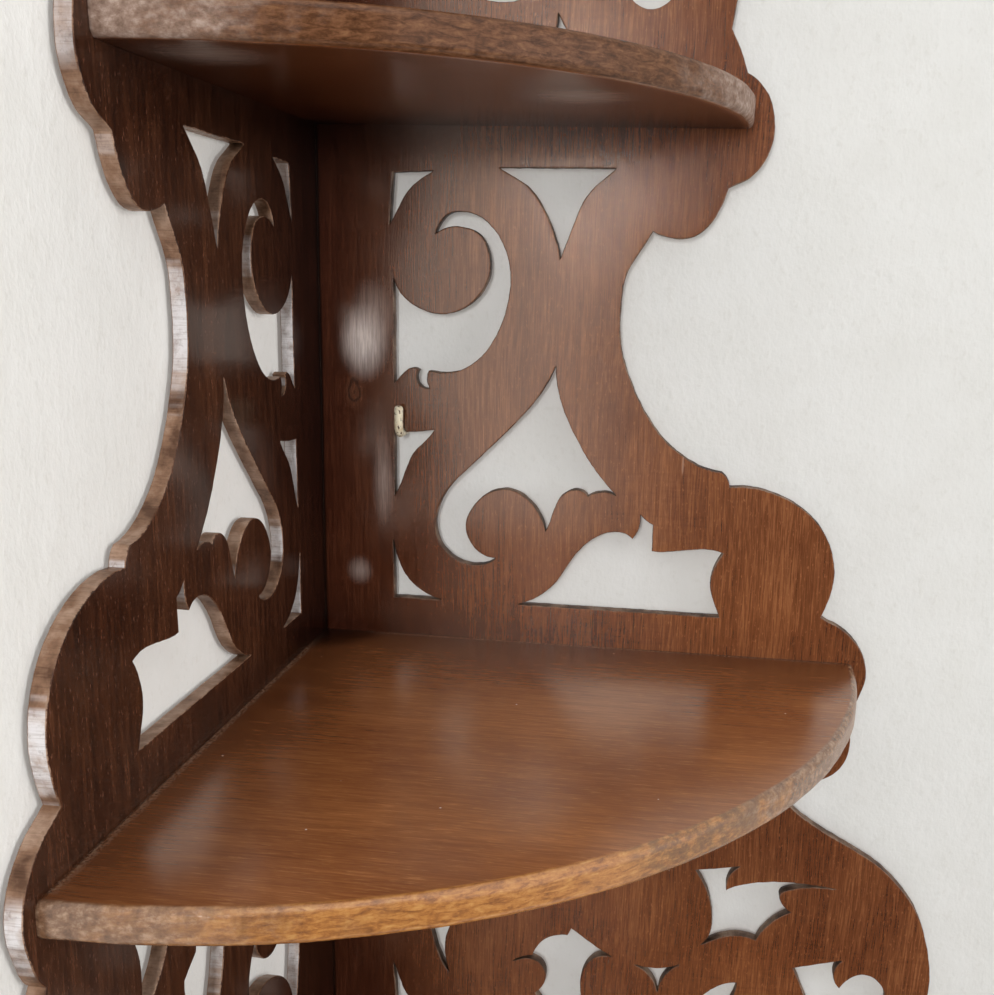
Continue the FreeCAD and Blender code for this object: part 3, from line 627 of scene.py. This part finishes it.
@dataclass(frozen=True)
class Plaster:
    """Painted wall or floor, see-through from behind so that the piece can be seen from every side."""

    name: str
    tint: Colour
    gap: float = 0.005
    glow: float = 0.0

    def make(self) -> Material:
        """Lay out the finish.

        Returns:
            The material.
        """
        bench = Bench(self.name)
        trowel = bench.noise(28, 5, 0.6)
        bumps = bench.noise((330, 330, 240), 3, 0.6)
        shade = bench.darken(linear(self.tint), (0.93, 0.925, 0.91), bench.span(trowel, 0.3, 0.7, 0, 0.5))
        shade = bench.darken(shade, (0.90, 0.89, 0.87), bench.span(bumps, 0.55, 0.75, 0, 0.5))
        path = bench.node("LightPath")
        # Painted reflection tint: in reflections the wall shows warmer than it is.
        shade = bench.darken(shade, (1.0, 0.88, 0.81), path.outputs["Is Glossy Ray"])
        brushed = bench.noise((120, 120, 75), 3, 0.55, (3, 7, 1))
        relief = bench.relief(bumps, 0.0006, 0.6, bench.relief(trowel, 0.0008, 0.4))
        bench.dress(Base_Color=shade, Roughness=0.75, Normal=bench.relief(brushed, 0.0009, 0.5, relief),
                    Specular_IOR_Level=0.3, Emission_Color=shade, Emission_Strength=self.glow)
        behind = bench.node("NewGeometry").outputs["Backfacing"]
        close = bench.maths("LESS_THAN", path.outputs["Ray Length"], self.gap * 1.8)
        bench.clear(bench.maths("MAXIMUM", behind, close))
        return bench.material


@dataclass(frozen=True)
class StudioFlag:
    """A dark cloth that shows only as a reflection in the varnish, and lets every other ray through."""

    name: str
    tones: tuple[Colour, Colour] = ((38, 35, 33), (82, 77, 73))

    def make(self) -> Material:
        """Lay out the finish.

        Returns:
            The material.
        """
        bench = Bench(self.name)
        height = bench.span(bench.at(Axis.Z), -0.6, 1.4)
        bench.dress(Base_Color=(0, 0, 0, 1), Specular_IOR_Level=0.0, Emission_Strength=1.0,
                    Emission_Color=bench.ramp(height, (0.0, 1.0), self.tones))
        bench.clear(bench.maths("SUBTRACT", 1.0, bench.node("LightPath").outputs["Is Glossy Ray"]))
        return bench.material


@dataclass
class Board:
    """A wooden board of the etagere, which stands for its plain solid."""

    node: str

    def cover(self, mesh: bpy.types.Mesh, skin: np.ndarray) -> None:
        """Shade a mesh smooth, and give each corner its point's place on the skin.

        Args:
            mesh: The mesh.
            skin: For each point, the distance along its edge and the distance across it.
        """
        corners = np.zeros(len(mesh.loops), int)
        mesh.loops.foreach_get("vertex_index", corners)
        mesh.uv_layers.new(name="skin").data.foreach_set("uv", skin[corners].ravel().astype(np.float32))
        mesh.polygons.foreach_set("use_smooth", np.ones(len(mesh.polygons), bool))

    def dress(self, board: bpy.types.Object, finish: Material) -> None:
        """Give the board its finish."""
        board.data.materials.append(finish)


@dataclass
class FrettedPanel(Board):
    """A fret-sawn wall panel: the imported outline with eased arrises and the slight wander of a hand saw."""

    face: Axis
    front: float
    seed: int
    arris: float = 0.00055
    step: float = 0.0011
    wander: float = 0.00010
    pocket: float = 0.0015
    flatness: float = 2e-6
    likeness: float = 2e-4
    longest_move: float = 1.5
    crease: float = 50.0
    waves: int = 12

    @property
    def inward(self) -> float:
        """The way from the front to the back along the face's axis, as a sign."""
        return -math.copysign(1.0, self.front)

    @property
    def across(self) -> list[int]:
        """The two directions that the panel lies along."""
        return [axis.value for axis in Axis if axis is not self.face]

    def solid(self) -> tuple[np.ndarray, np.ndarray]:
        """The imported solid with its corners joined.

        Returns:
            Its points, and its triangles as rows of three point numbers.
        """
        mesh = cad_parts[self.node].data
        points = np.zeros(len(mesh.vertices) * 3)
        mesh.vertices.foreach_get("co", points)
        corners = np.zeros(len(mesh.loops), int)
        mesh.loops.foreach_get("vertex_index", corners)
        joined, where = np.unique(points.reshape(-1, 3).round(6), axis=0, return_inverse=True)
        return joined, where.reshape(-1)[corners].reshape(-1, 3)

    def outlines(self, level: float) -> list[np.ndarray]:
        """The closed outlines of the solid's flat at one level of the face's axis.

        An edge that only one flat triangle uses is a border. Each border point knows the next, and by
        doubling its stride it finds how many steps lie between it and its outline's first point.

        Args:
            level: Where the flat lies.

        Returns:
            An array of flat places for each outline: the outer one, anticlockwise, then the others, clockwise.
        """
        points, triangles = self.solid()
        flat = np.all(np.abs(points[triangles][:, :, self.face.value] - level) < self.flatness, axis=1)
        edges = triangles[flat][:, [[0, 1], [1, 2], [2, 0]]].reshape(-1, 2)
        size = len(points)
        ahead, behind = edges[:, 0] * size + edges[:, 1], edges[:, 1] * size + edges[:, 0]
        border = edges[~np.isin(ahead, behind)]
        names, where = np.unique(border.ravel(), return_inverse=True)
        where = where.reshape(-1, 2)
        after = np.zeros(len(names), int)
        after[where[:, 0]] = where[:, 1]
        own = np.arange(len(names))
        first, hop = own, after.copy()
        rounds = int(math.ceil(math.log2(len(names)))) + 1
        for _ in range(rounds):
            first, hop = np.minimum(first, first[hop]), hop[hop]
        start = first == own
        hop, left = np.where(start, own, after), (~start).astype(int)
        for _ in range(rounds):
            left, hop = left + left[hop], hop[hop]
        flats = points[names][:, self.across]
        found = [flats[members[np.argsort(-left[members], kind="stable")]]
                 for members in (np.flatnonzero(first == root) for root in np.flatnonzero(start))]
        found.sort(key=lambda outline: -abs(self.area(outline)))
        return [outline if (self.area(outline) > 0) == (place == 0) else outline[::-1]
                for place, outline in enumerate(found)]

    @staticmethod
    def area(outline: np.ndarray) -> float:
        """The area inside an outline, positive if it runs anticlockwise."""
        ahead = np.roll(outline, -1, axis=0)
        return float((outline[:, 0] * ahead[:, 1] - ahead[:, 0] * outline[:, 1]).sum() / 2)

    def even(self, outline: np.ndarray) -> np.ndarray:
        """Divide the long edges of an outline so that none is longer than the step.

        Args:
            outline: The outline.

        Returns:
            The same outline with more points.
        """
        ahead = np.roll(outline, -1, axis=0) - outline
        parts = np.maximum(1, np.ceil(np.hypot(*ahead.T) / self.step)).astype(int)
        which = np.repeat(np.arange(len(outline)), parts)
        share = (np.arange(len(which)) - np.repeat(np.cumsum(parts) - parts, parts)) / parts[which]
        return outline[which] + ahead[which] * share[:, None]

    def into_wood(self, outline: np.ndarray) -> np.ndarray:
        """For each point of an outline, the move that shifts both its edges one unit into the wood.

        It is the sum of the two edges' left normals over one plus their product, held to a longest length.

        Args:
            outline: The outline, with the wood on its left.

        Returns:
            The moves.
        """
        ahead = np.roll(outline, -1, axis=0) - outline
        ahead /= np.maximum(np.linalg.norm(ahead, axis=1, keepdims=True), 1e-12)
        normal = np.stack([-ahead[:, 1], ahead[:, 0]], -1)
        before = np.roll(normal, 1, axis=0)
        move = (normal + before) / np.maximum(1 + (normal * before).sum(1), 0.05)[:, None]
        size = np.linalg.norm(move, axis=1, keepdims=True)
        return move * np.minimum(1, self.longest_move / np.maximum(size, 1e-9))

    def saw_line(self, outline: np.ndarray, depth: float) -> np.ndarray:
        """How far the saw wandered into the wood: a sum of sines of random direction over the panel.

        Args:
            outline: Places on the panel.
            depth: Distance from the front.

        Returns:
            The wander at each place, never below 0.
        """
        draw = np.random.default_rng(self.seed)
        rate = draw.uniform(300, 2600, (self.waves, 1))
        turn = draw.uniform(0, FULL_TURN, (self.waves, 1))
        ways = np.concatenate([np.cos(turn), np.sin(turn)], 1) * rate
        phase = draw.uniform(0, FULL_TURN, self.waves) + depth * draw.uniform(-500, 500, self.waves)
        size = 1 / np.sqrt(rate[:, 0])
        total = (np.sin(outline @ ways.T + phase) * size).sum(1) / size.sum()
        return self.wander * np.clip(1 + 3 * total, 0, 2.5)

    def stand(self, flat: np.ndarray, depth: float) -> np.ndarray:
        """Put flat places at a depth below the front.

        Args:
            flat: Places on the panel.
            depth: Distance from the front towards the wall.

        Returns:
            Points of the frame.
        """
        points = np.zeros((len(flat), 3))
        points[:, self.across] = flat
        points[:, self.face.value] = self.front + self.inward * depth
        return points

    @staticmethod
    def fill(rings: list[np.ndarray]) -> np.ndarray:
        """Triangles that cover what lies inside the first ring and outside the others.

        A place is inside if a line from it crosses the rings an odd number of times.

        Args:
            rings: Flat rings; together their points are numbered in order.

        Returns:
            Rows of three point numbers.
        """
        flat = np.concatenate(rings)
        base = np.cumsum([0] + [len(ring) for ring in rings])
        edges = np.concatenate([np.stack([own, (own + 1) % len(own)], -1) + first
                                for own, first in zip((np.arange(len(ring)) for ring in rings), base)])
        made = delaunay_2d_cdt([Vector(place) for place in flat.tolist()], edges.tolist(), [], 1, 1e-9)
        came = np.array([sources[0] if sources else -1 for sources in made[3]])
        triangles = np.array(made[2])
        middle = np.array([tuple(place) for place in made[0]])[triangles].mean(1)
        start, end = flat[edges[:, 0]], flat[edges[:, 1]]
        inside, batch = np.zeros(len(middle), bool), 512
        for low in range(0, len(middle), batch):
            along, up = np.moveaxis(middle[low:low + batch, None], -1, 0)
            crossed = (start[:, 1] > up) != (end[:, 1] > up)
            with np.errstate(divide="ignore", invalid="ignore"):
                slope = (up - start[:, 1]) / (end[:, 1] - start[:, 1])
                at = start[:, 0] + slope * (end[:, 0] - start[:, 0])
            inside[low:low + batch] = ((along < at) & crossed).sum(1) % 2 == 1
        triangles = came[triangles[inside]]
        return triangles[(triangles >= 0).all(1)]

    def cuts(self) -> list[tuple[np.ndarray, Cut]]:
        """The panel's outlines, each with how deep it goes: a hole that shows on one side only is a pocket.

        Returns:
            The outlines of the front, then those that only the back has.
        """
        sides = [self.outlines(level) for level in (self.front, self.front + self.inward * BOARD)]
        front, back = (np.array([[*line.min(0), *line.max(0)] for line in side]) for side in sides)
        paired = np.abs(front[:, None] - back[None]).max(-1) < self.likeness
        deep = [Cut.THROUGH if twin else Cut.FRONT for twin in paired.any(1)]
        alone = [(line, Cut.BACK) for line, twin in zip(sides[1], paired.any(0)) if not twin]
        return [*zip(sides[0], deep), *alone]

    def section(self, cut: Cut) -> list[Triple]:
        """The way down a sawn edge: in by the arris, round a quarter circle, down, and round onto the back.

        Args:
            cut: How deep the saw went; a pocket's edge goes straight down.

        Returns:
            For each step: how far in, how deep, and how far it belongs to the sawn edge.
        """
        if cut is not Cut.THROUGH:
            levels = (0.0, self.pocket) if cut is Cut.FRONT else (BOARD, BOARD - self.pocket)
            return [(0.0, level, share) for level, share in zip(levels, (0.0, 1.0))]
        bend = np.linspace(0, QUARTER, 4)
        inset, down = self.arris * (1 - np.sin(bend)), self.arris * (1 - np.cos(bend))
        return [(step, depth, 1 - step / self.arris)
                for step, depth in (*zip(inset, down), *zip(inset[::-1], BOARD - down[::-1]))]

    def build(self) -> bpy.types.Object:
        """Carry the section round every outline, then close the front, the back and the pockets' floors.

        Returns:
            The finished board.
        """
        points, faces, sawn, skin = [], [], [], []
        count, front, back = 0, [], []
        for outline, cut in self.cuts():
            line, steps = self.even(outline), self.section(cut)
            move, size = self.into_wood(line), len(line)
            lengths = np.hypot(*(np.roll(line, -1, axis=0) - line).T)
            along = np.concatenate([[0], np.cumsum(lengths)[:-1]])
            rings = []
            for step, depth, share in steps:
                wander = self.saw_line(line, depth) if cut is Cut.THROUGH else 0.0
                rings.append(line + move * np.broadcast_to(step + wander, size)[:, None])
                points.append(self.stand(rings[-1], depth))
                sawn.append(np.full(size, share))
                skin.append(np.stack([along, np.full(size, depth)], -1))
            ring = np.arange(size)
            ahead = (ring + 1) % size
            for level in range(1, len(steps)):
                high = count + level * size
                low = high - size
                faces.append(np.stack([low + ring, low + ahead, high + ahead, high + ring], -1))
            (back if cut is Cut.BACK else front).append((rings[0], count))
            if cut is Cut.THROUGH:
                back.append((rings[-1], count + (len(steps) - 1) * size))
            else:
                faces.append(self.fill([rings[-1]])[:, [0, 1, 2, 0]] + count + size)
            count += len(steps) * size
        for cap in (front, back):
            numbers = np.concatenate([first + np.arange(len(ring)) for ring, first in cap])
            faces.append(numbers[self.fill([ring for ring, _ in cap])][:, [0, 1, 2, 0]])
        return self.finish(*map(np.concatenate, (points, faces, sawn, skin)))

    def finish(self, points: np.ndarray, faces: np.ndarray, sawn: np.ndarray,
               skin: np.ndarray) -> bpy.types.Object:
        """Make the board's mesh, with its faces outwards and its sawn edges marked.

        Args:
            points: The points.
            faces: Four point numbers a face; a triangle repeats its first.
            sawn: How far each point belongs to a sawn edge, from 0 to 1.
            skin: For each point, the distance along its outline and the depth below the front.

        Returns:
            The board.
        """
        mesh = bpy.data.meshes.new(self.node + "_board")
        mesh.from_pydata(points, [], [row[:3] if row[0] == row[3] else row for row in faces.tolist()])
        mark = mesh.attributes.new("sawn", "FLOAT", "POINT")
        mark.data.foreach_set("value", sawn.astype(np.float32))
        self.cover(mesh, skin)
        work = bmesh.new()
        work.from_mesh(mesh)
        bmesh.ops.recalc_face_normals(work, faces=work.faces)
        work.to_mesh(mesh)
        work.free()
        mesh.set_sharp_from_angle(angle=math.radians(self.crease))
        board = put(self.node + "_board", mesh)
        shade = board.modifiers.new("even_shading", "WEIGHTED_NORMAL")
        shade.keep_sharp, shade.weight = True, 100
        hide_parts(self.node)
        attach(board, "etagere")
        return board


@dataclass
class Shelf(Board):
    """A quarter-round shelf board with a rubbed, slightly uneven rim."""

    radius: float
    top: float
    seed: int
    thick: float
    easing: float = 0.0034
    turns: int = 300
    inner: int = 8
    bend: int = 9
    joined_within: float = 0.00001
    wear: float = 0.00035
    waves: int = 14

    @classmethod
    def over(cls, node: str, seed: int) -> "Shelf":
        """Take the sizes of a packed shelf.

        Args:
            node: The shelf's node.
            seed: Picks its own wear.

        Returns:
            The shelf.
        """
        low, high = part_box(node)
        return cls(node, high.x - BOARD, high.z, seed, high.z - low.z)

    def profile(self) -> tuple[np.ndarray, np.ndarray, np.ndarray]:
        """The board's section from its corner, out over the top, round the rim and back below.

        Returns:
            For each point of the section: the distance in from the full radius, the depth below the top, and
            the length along the section, which is 0 where the rounding starts.
        """
        turn = np.linspace(0, QUARTER, self.bend)
        flat = np.linspace(0, self.thick - 2 * self.easing, 5)[1:-1]
        inward = self.easing + np.linspace(1, 0, self.inner, endpoint=False) * (self.radius - self.easing)
        rise, fall = self.easing * (1 - np.sin(turn)), self.easing * (1 - np.cos(turn))
        back = np.concatenate([inward, rise, np.zeros(len(flat)), fall, inward[::-1]])
        down = np.concatenate([np.zeros(self.inner), fall, self.easing + flat, self.thick - rise,
                               np.full(self.inner, self.thick)])
        length = np.concatenate([[0.0], np.cumsum(np.hypot(np.diff(back), np.diff(down)))])
        return back, down, length - length[self.inner]

    def unevenness(self, along: np.ndarray, down: np.ndarray) -> np.ndarray:
        """How far the rim is worn in: a sum of sines of random length and phase along the rim and across it.

        Args:
            along: Distance along the rim.
            down: Depth below the top.

        Returns:
            The wear in metres, never below 0.
        """
        draw = np.random.default_rng(self.seed)
        rate = draw.uniform(25, 420, self.waves)
        cross = draw.uniform(-260, 260, self.waves)
        phase = draw.uniform(0, FULL_TURN, self.waves)
        size = 1 / np.sqrt(rate)
        waves = np.sin(along[..., None] * rate + down[..., None] * cross + phase) * size
        return self.wear * np.clip(0.5 + 1.6 * (waves.sum(-1) / size.sum()), 0, 1.5)

    def build(self) -> bpy.types.Object:
        """Carry the section round a quarter turn and close its ends.

        A point at angle a and section place (back, down) stands at the inner corner plus (radius - back -
        wear) times (sin a, -cos a), and at height top - down.

        Returns:
            The finished board.
        """
        back, down, length = self.profile()
        turn, depth = np.meshgrid(np.linspace(0, QUARTER, self.turns + 1), down, indexing="ij")
        along = turn * self.radius
        rim = (back < self.easing + 1e-6)[None, :]
        out = self.radius - back[None, :] - self.unevenness(along, depth) * rim
        points = np.stack([BOARD + out * np.sin(turn), -BOARD - out * np.cos(turn), self.top - depth], -1)
        index = np.arange(turn.size).reshape(turn.shape)
        quads = np.stack([index[:-1, :-1], index[1:, :-1], index[1:, 1:], index[:-1, 1:]], -1).reshape(-1, 4)
        half = turn.shape[1] // 2 + 1
        ends = []
        for row, order in ((index[0], 1), (index[-1], -1)):
            upper, lower = row[:half], row[::-1][:half]
            ends.append(np.stack([upper[:-1], upper[1:], lower[1:], lower[:-1]], -1)[:, ::order])
        mesh = bpy.data.meshes.new(self.node + "_board")
        mesh.from_pydata(points.reshape(-1, 3), [], np.concatenate([quads, *ends]))
        self.cover(mesh, np.stack([along, np.broadcast_to(length, along.shape)], -1).reshape(-1, 2))
        mesh.validate()
        board = put(self.node + "_board", mesh)
        board.modifiers.new("joined", "WELD").merge_threshold = self.joined_within
        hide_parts(self.node)
        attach(board, "etagere")
        return board


@dataclass
class Fastenings:
    """The screws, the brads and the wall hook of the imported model."""

    screws: tuple[str, ...] = tuple(f"{level}_screws_{side}" for level in ("top", "upper", "middle", "lower")
                                    for side in ("left", "right"))

    def dress(self, steel: Material, paint: Material) -> None:
        """Give each fastening its finish.

        Args:
            steel: For the screws and brads.
            paint: For the hook.
        """
        for name in (*self.screws, "corner_brads"):
            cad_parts[name].material_slots[0].material = steel
        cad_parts["wall_hook"].material_slots[0].material = paint


@dataclass
class Room:
    """The two walls of the corner and a floor below, and the light that falls on them."""

    gap: float = 0.0018
    gap_right: float = 0.0045
    reach: float = 3.2
    floor: float = -0.9
    tall: float = 3.4
    flag_reach: float = 2.2
    flag_front: float = -0.9
    tint: Triple = (0.98, 0.99, 1.0)
    glow: Triple = (0.22, 0.223, 0.226)
    surround: Triple = (0.80, 0.80, 0.795)

    def plane(self, name: str, corners: list[Triple], finish: Material) -> None:
        """Stand one flat plane.

        Args:
            name: The plane's name.
            corners: Its four corners, anticlockwise from the side that shows.
            finish: Its material.
        """
        mesh = bpy.data.meshes.new(name)
        mesh.from_pydata(corners, [], [(0, 1, 2, 3)])
        mesh.materials.append(finish)
        made = put(name, mesh)

    def build(self) -> None:
        """Stand the walls, lay the floor, and put one dark flag behind the viewpoint and one on the floor."""
        ground = Plaster("floor_paint", (226, 224, 220)).make()
        low, high, far, gap, back = self.floor, self.tall, self.reach, self.gap, self.gap_right
        self.plane("right_wall", [(-gap, back, low), (far, back, low), (far, back, high), (-gap, back, high)],
                   Plaster("right_wall_paint", (188, 187, 184), back, 0.36).make())
        self.plane("left_wall",
                   [(-gap, -far, low), (-gap, back, low), (-gap, back, high), (-gap, -far, high)],
                   Plaster("left_wall_paint", (212, 210, 206), gap, 0.28).make())
        self.plane("floor", [(-far, -far, low), (far, -far, low), (far, far, low), (-far, far, low)], ground)
        flag, side, deep, lift = StudioFlag("dark_cloth").make(), self.flag_reach, self.flag_front, low + gap
        self.plane("studio_flag",
                   [(side, -far, low), (-gap, -far, low), (-gap, -far, high), (side, -far, high)], flag)
        self.plane("floor_flag",
                   [(-gap, -far, lift), (side, -far, lift), (side, deep, lift), (-gap, deep, lift)], flag)

    def lamp(self, name: str, place: Triple, aim: Triple, power: float,
             size: tuple[float, float] = (1.3, 1.3)) -> None:
        """Hang one soft rectangular lamp, whose image the varnish doesn't show.

        Args:
            name: The lamp's name.
            place: Where it hangs.
            aim: What it points at.
            power: Its strength in watts.
            size: Its width and height.
        """
        data = bpy.data.lights.new(name, "AREA")
        data.shape, data.size, data.size_y = "RECTANGLE", *size
        data.energy, data.color = power, self.tint
        made = put(name, data)
        made.location = place
        made.rotation_euler = (Vector(aim) - Vector(place)).to_track_quat("-Z", "Y").to_euler()
        made.visible_glossy = False

    def sky(self) -> None:
        """Set a pale surround, which gives less light than it shows."""
        world = bpy.data.worlds.new("soft_sky")
        world.use_nodes = True
        tree = world.node_tree
        path = tree.nodes.new("ShaderNodeLightPath")
        seen = path.outputs["Is Camera Ray"]
        for ray in ("Is Glossy Ray", "Is Transmission Ray"):
            both = tree.nodes.new("ShaderNodeMath")
            both.operation = "MAXIMUM"
            tree.links.new(seen, both.inputs[0])
            tree.links.new(path.outputs[ray], both.inputs[1])
            seen = both.outputs[0]
        mix = tree.nodes.new("ShaderNodeMix")
        mix.data_type = "RGBA"
        tree.links.new(seen, mix.inputs[0])
        mix.inputs[6].default_value, mix.inputs[7].default_value = (*self.glow, 1), (*self.surround, 1)
        tree.links.new(mix.outputs[2], tree.nodes["Background"].inputs["Color"])
        bpy.context.scene.world = world

    def light(self) -> None:
        """Fill the room with soft light, and give the panels' backs a little of their own."""
        self.sky()
        self.lamp("front_light", (0.09, -1.5, 0.90), (0.16, 0.0, 0.60), 11.2, (0.14, 0.30))
        self.lamp("top_light", (0.9, -1.7, 2.5), (0.15, -0.15, 0.6), 15)
        self.lamp("side_light", (2.8, -0.9, 1.0), (0.0, -0.2, 0.6), 42)
        self.lamp("rear_light_right", (0.2, 2.6, 1.2), (0.2, 0.0, 0.6), 30)
        self.lamp("rear_light_left", (-2.6, -0.2, 1.2), (0.0, -0.2, 0.6), 30)


@dataclass
class Viewpoint:
    """The camera: its place, its turn in degrees, its lens and sensor in millimetres, and its shift."""

    place: Triple = (0.1990, -0.5772, 0.6957)
    turn: Triple = (75.847, -1.517, 7.568)
    lens: float = 40.98
    sensor: float = 36.0
    shift: tuple[float, float] = (-0.0501, 0.0575)
    nearest: float = 0.01

    def build(self) -> None:
        """Set up the camera and make it the scene's own."""
        data = bpy.data.cameras.new("viewpoint")
        data.sensor_width, data.sensor_fit, data.lens = self.sensor, "HORIZONTAL", self.lens
        data.shift_x, data.shift_y = self.shift
        data.clip_start = self.nearest
        camera = put("viewpoint", data)
        camera.location = self.place
        camera.rotation_euler = tuple(math.radians(angle) for angle in self.turn)
        bpy.context.scene.camera = camera


def panel_stains() -> tuple[StainedWood, StainedWood]:
    """The two panels' finishes: the left one stained darker, partly as painted shade; the right one with painted
    reflections, painted light and shade, a knot and a scratch.

    Returns:
        The left panel's finish and the right panel's.
    """
    boxes = [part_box(node) for node in SHELVES]
    levels = tuple((low.z + high.z) / 2 for low, high in boxes)
    # The left panel's darker tones are partly painted shade.
    left = StainedWood("left_panel_stain", Axis.X, levels, tones=((36, 20, 14), (62, 35, 22), (88, 54, 36)),
                       edge=((82, 57, 42), (124, 94, 74), (156, 129, 110)), edge_gloss=0.55, edge_sheen_share=1.0,
                       flecked=0.5, coarse=0.4, fleck=(116, 80, 64), gloss=1.5)
    # Painted reflections on the stile: pale sheen where the varnish would mirror the wall seen through the left
    # panel's openings.
    bloom = (Patch((0.0300, -BOARD, 0.6570), 0.0150, 0.0220, 0.82, (250, 236, 228)),
             Patch((0.0345, -BOARD, 0.6700), 0.0140, 0.0230, 0.45),
             Patch((0.0395, -BOARD, 0.5866), 0.0075, 0.0320, 0.42),
             Patch((0.0260, -BOARD, 0.5362), 0.0085, 0.0095, 0.40))
    # Painted shade on the panel just under the upper shelf.
    shade_under_shelf = Patch((0.1950, -BOARD, 0.7350), 0.0420, 0.0320, 0.30, (72, 43, 29))
    # A painted pool of light on the middle of the panel.
    lit_middle = Patch((0.1250, -BOARD, 0.6650), 0.1200, 0.1500, 0.16, (196, 140, 104))
    scratch = Patch((0.1952, -BOARD, 0.6016), 0.0006, 0.0065, 0.60, (196, 160, 136), 0.5)
    right = StainedWood("right_panel_stain", Axis.Y, levels, knot=(0.0245, -BOARD, 0.632),
                        patches=(*bloom, shade_under_shelf, lit_middle, scratch))
    return left, right


def shelf_stains() -> tuple[ShelfWood, ShelfWood]:
    """The shelves' finishes: golden for the lower two, darker with a greyer, duller rim for the upper two, with
    painted reflections under the upper shelf.

    Returns:
        The golden finish and the darker one.
    """
    # Painted reflections: two pale patches of sheen on the upper shelf's underside.
    bloom = (Patch((0.032, -0.190, 0.762), 0.028, 0.008, 0.42),
             Patch((0.148, -0.104, 0.762), 0.030, 0.008, 0.36))
    darker = ShelfWood("upper_shelf_stain", ((60, 36, 21), (79, 49, 30), (96, 63, 41), (114, 79, 53)),
                       ((102, 81, 68), (134, 111, 98), (166, 146, 134)), rim_gloss=0.35,
                       greyed=((0.0, 0.08), (0.05, 0.12)), patches=bloom)
    return ShelfWood("shelf_stain", crackle=(0.206, -0.193, 0.506)), darker


def main() -> None:
    """Build the room, the boards and their finishes."""
    logging.basicConfig(level=logging.INFO, format="%(name)s: %(message)s")
    bpy.context.scene.view_settings.view_transform = "Standard"
    Viewpoint().build()
    room = Room()
    room.build()
    room.light()
    panels = FrettedPanel("left_panel", Axis.X, BOARD, 11), FrettedPanel("right_panel", Axis.Y, -BOARD, 12)
    for panel, finish in zip(panels, panel_stains()):
        board = panel.build()
        panel.dress(board, finish.make())
        log.info("%s sawn and stained: %d faces", board.name, len(board.data.polygons))
    golden, darker = (finish.make() for finish in shelf_stains())
    for seed, (node, finish) in enumerate(zip(SHELVES, (golden, golden, darker, darker)), 1):
        shelf = Shelf.over(node, seed)
        shelf.dress(shelf.build(), finish)
        log.info("%s carried round", node)
    Fastenings().dress(AgedSteel("aged_steel").make(), ChippedPaint("chipped_cream").make())


if __name__ == "__main__":
    main()
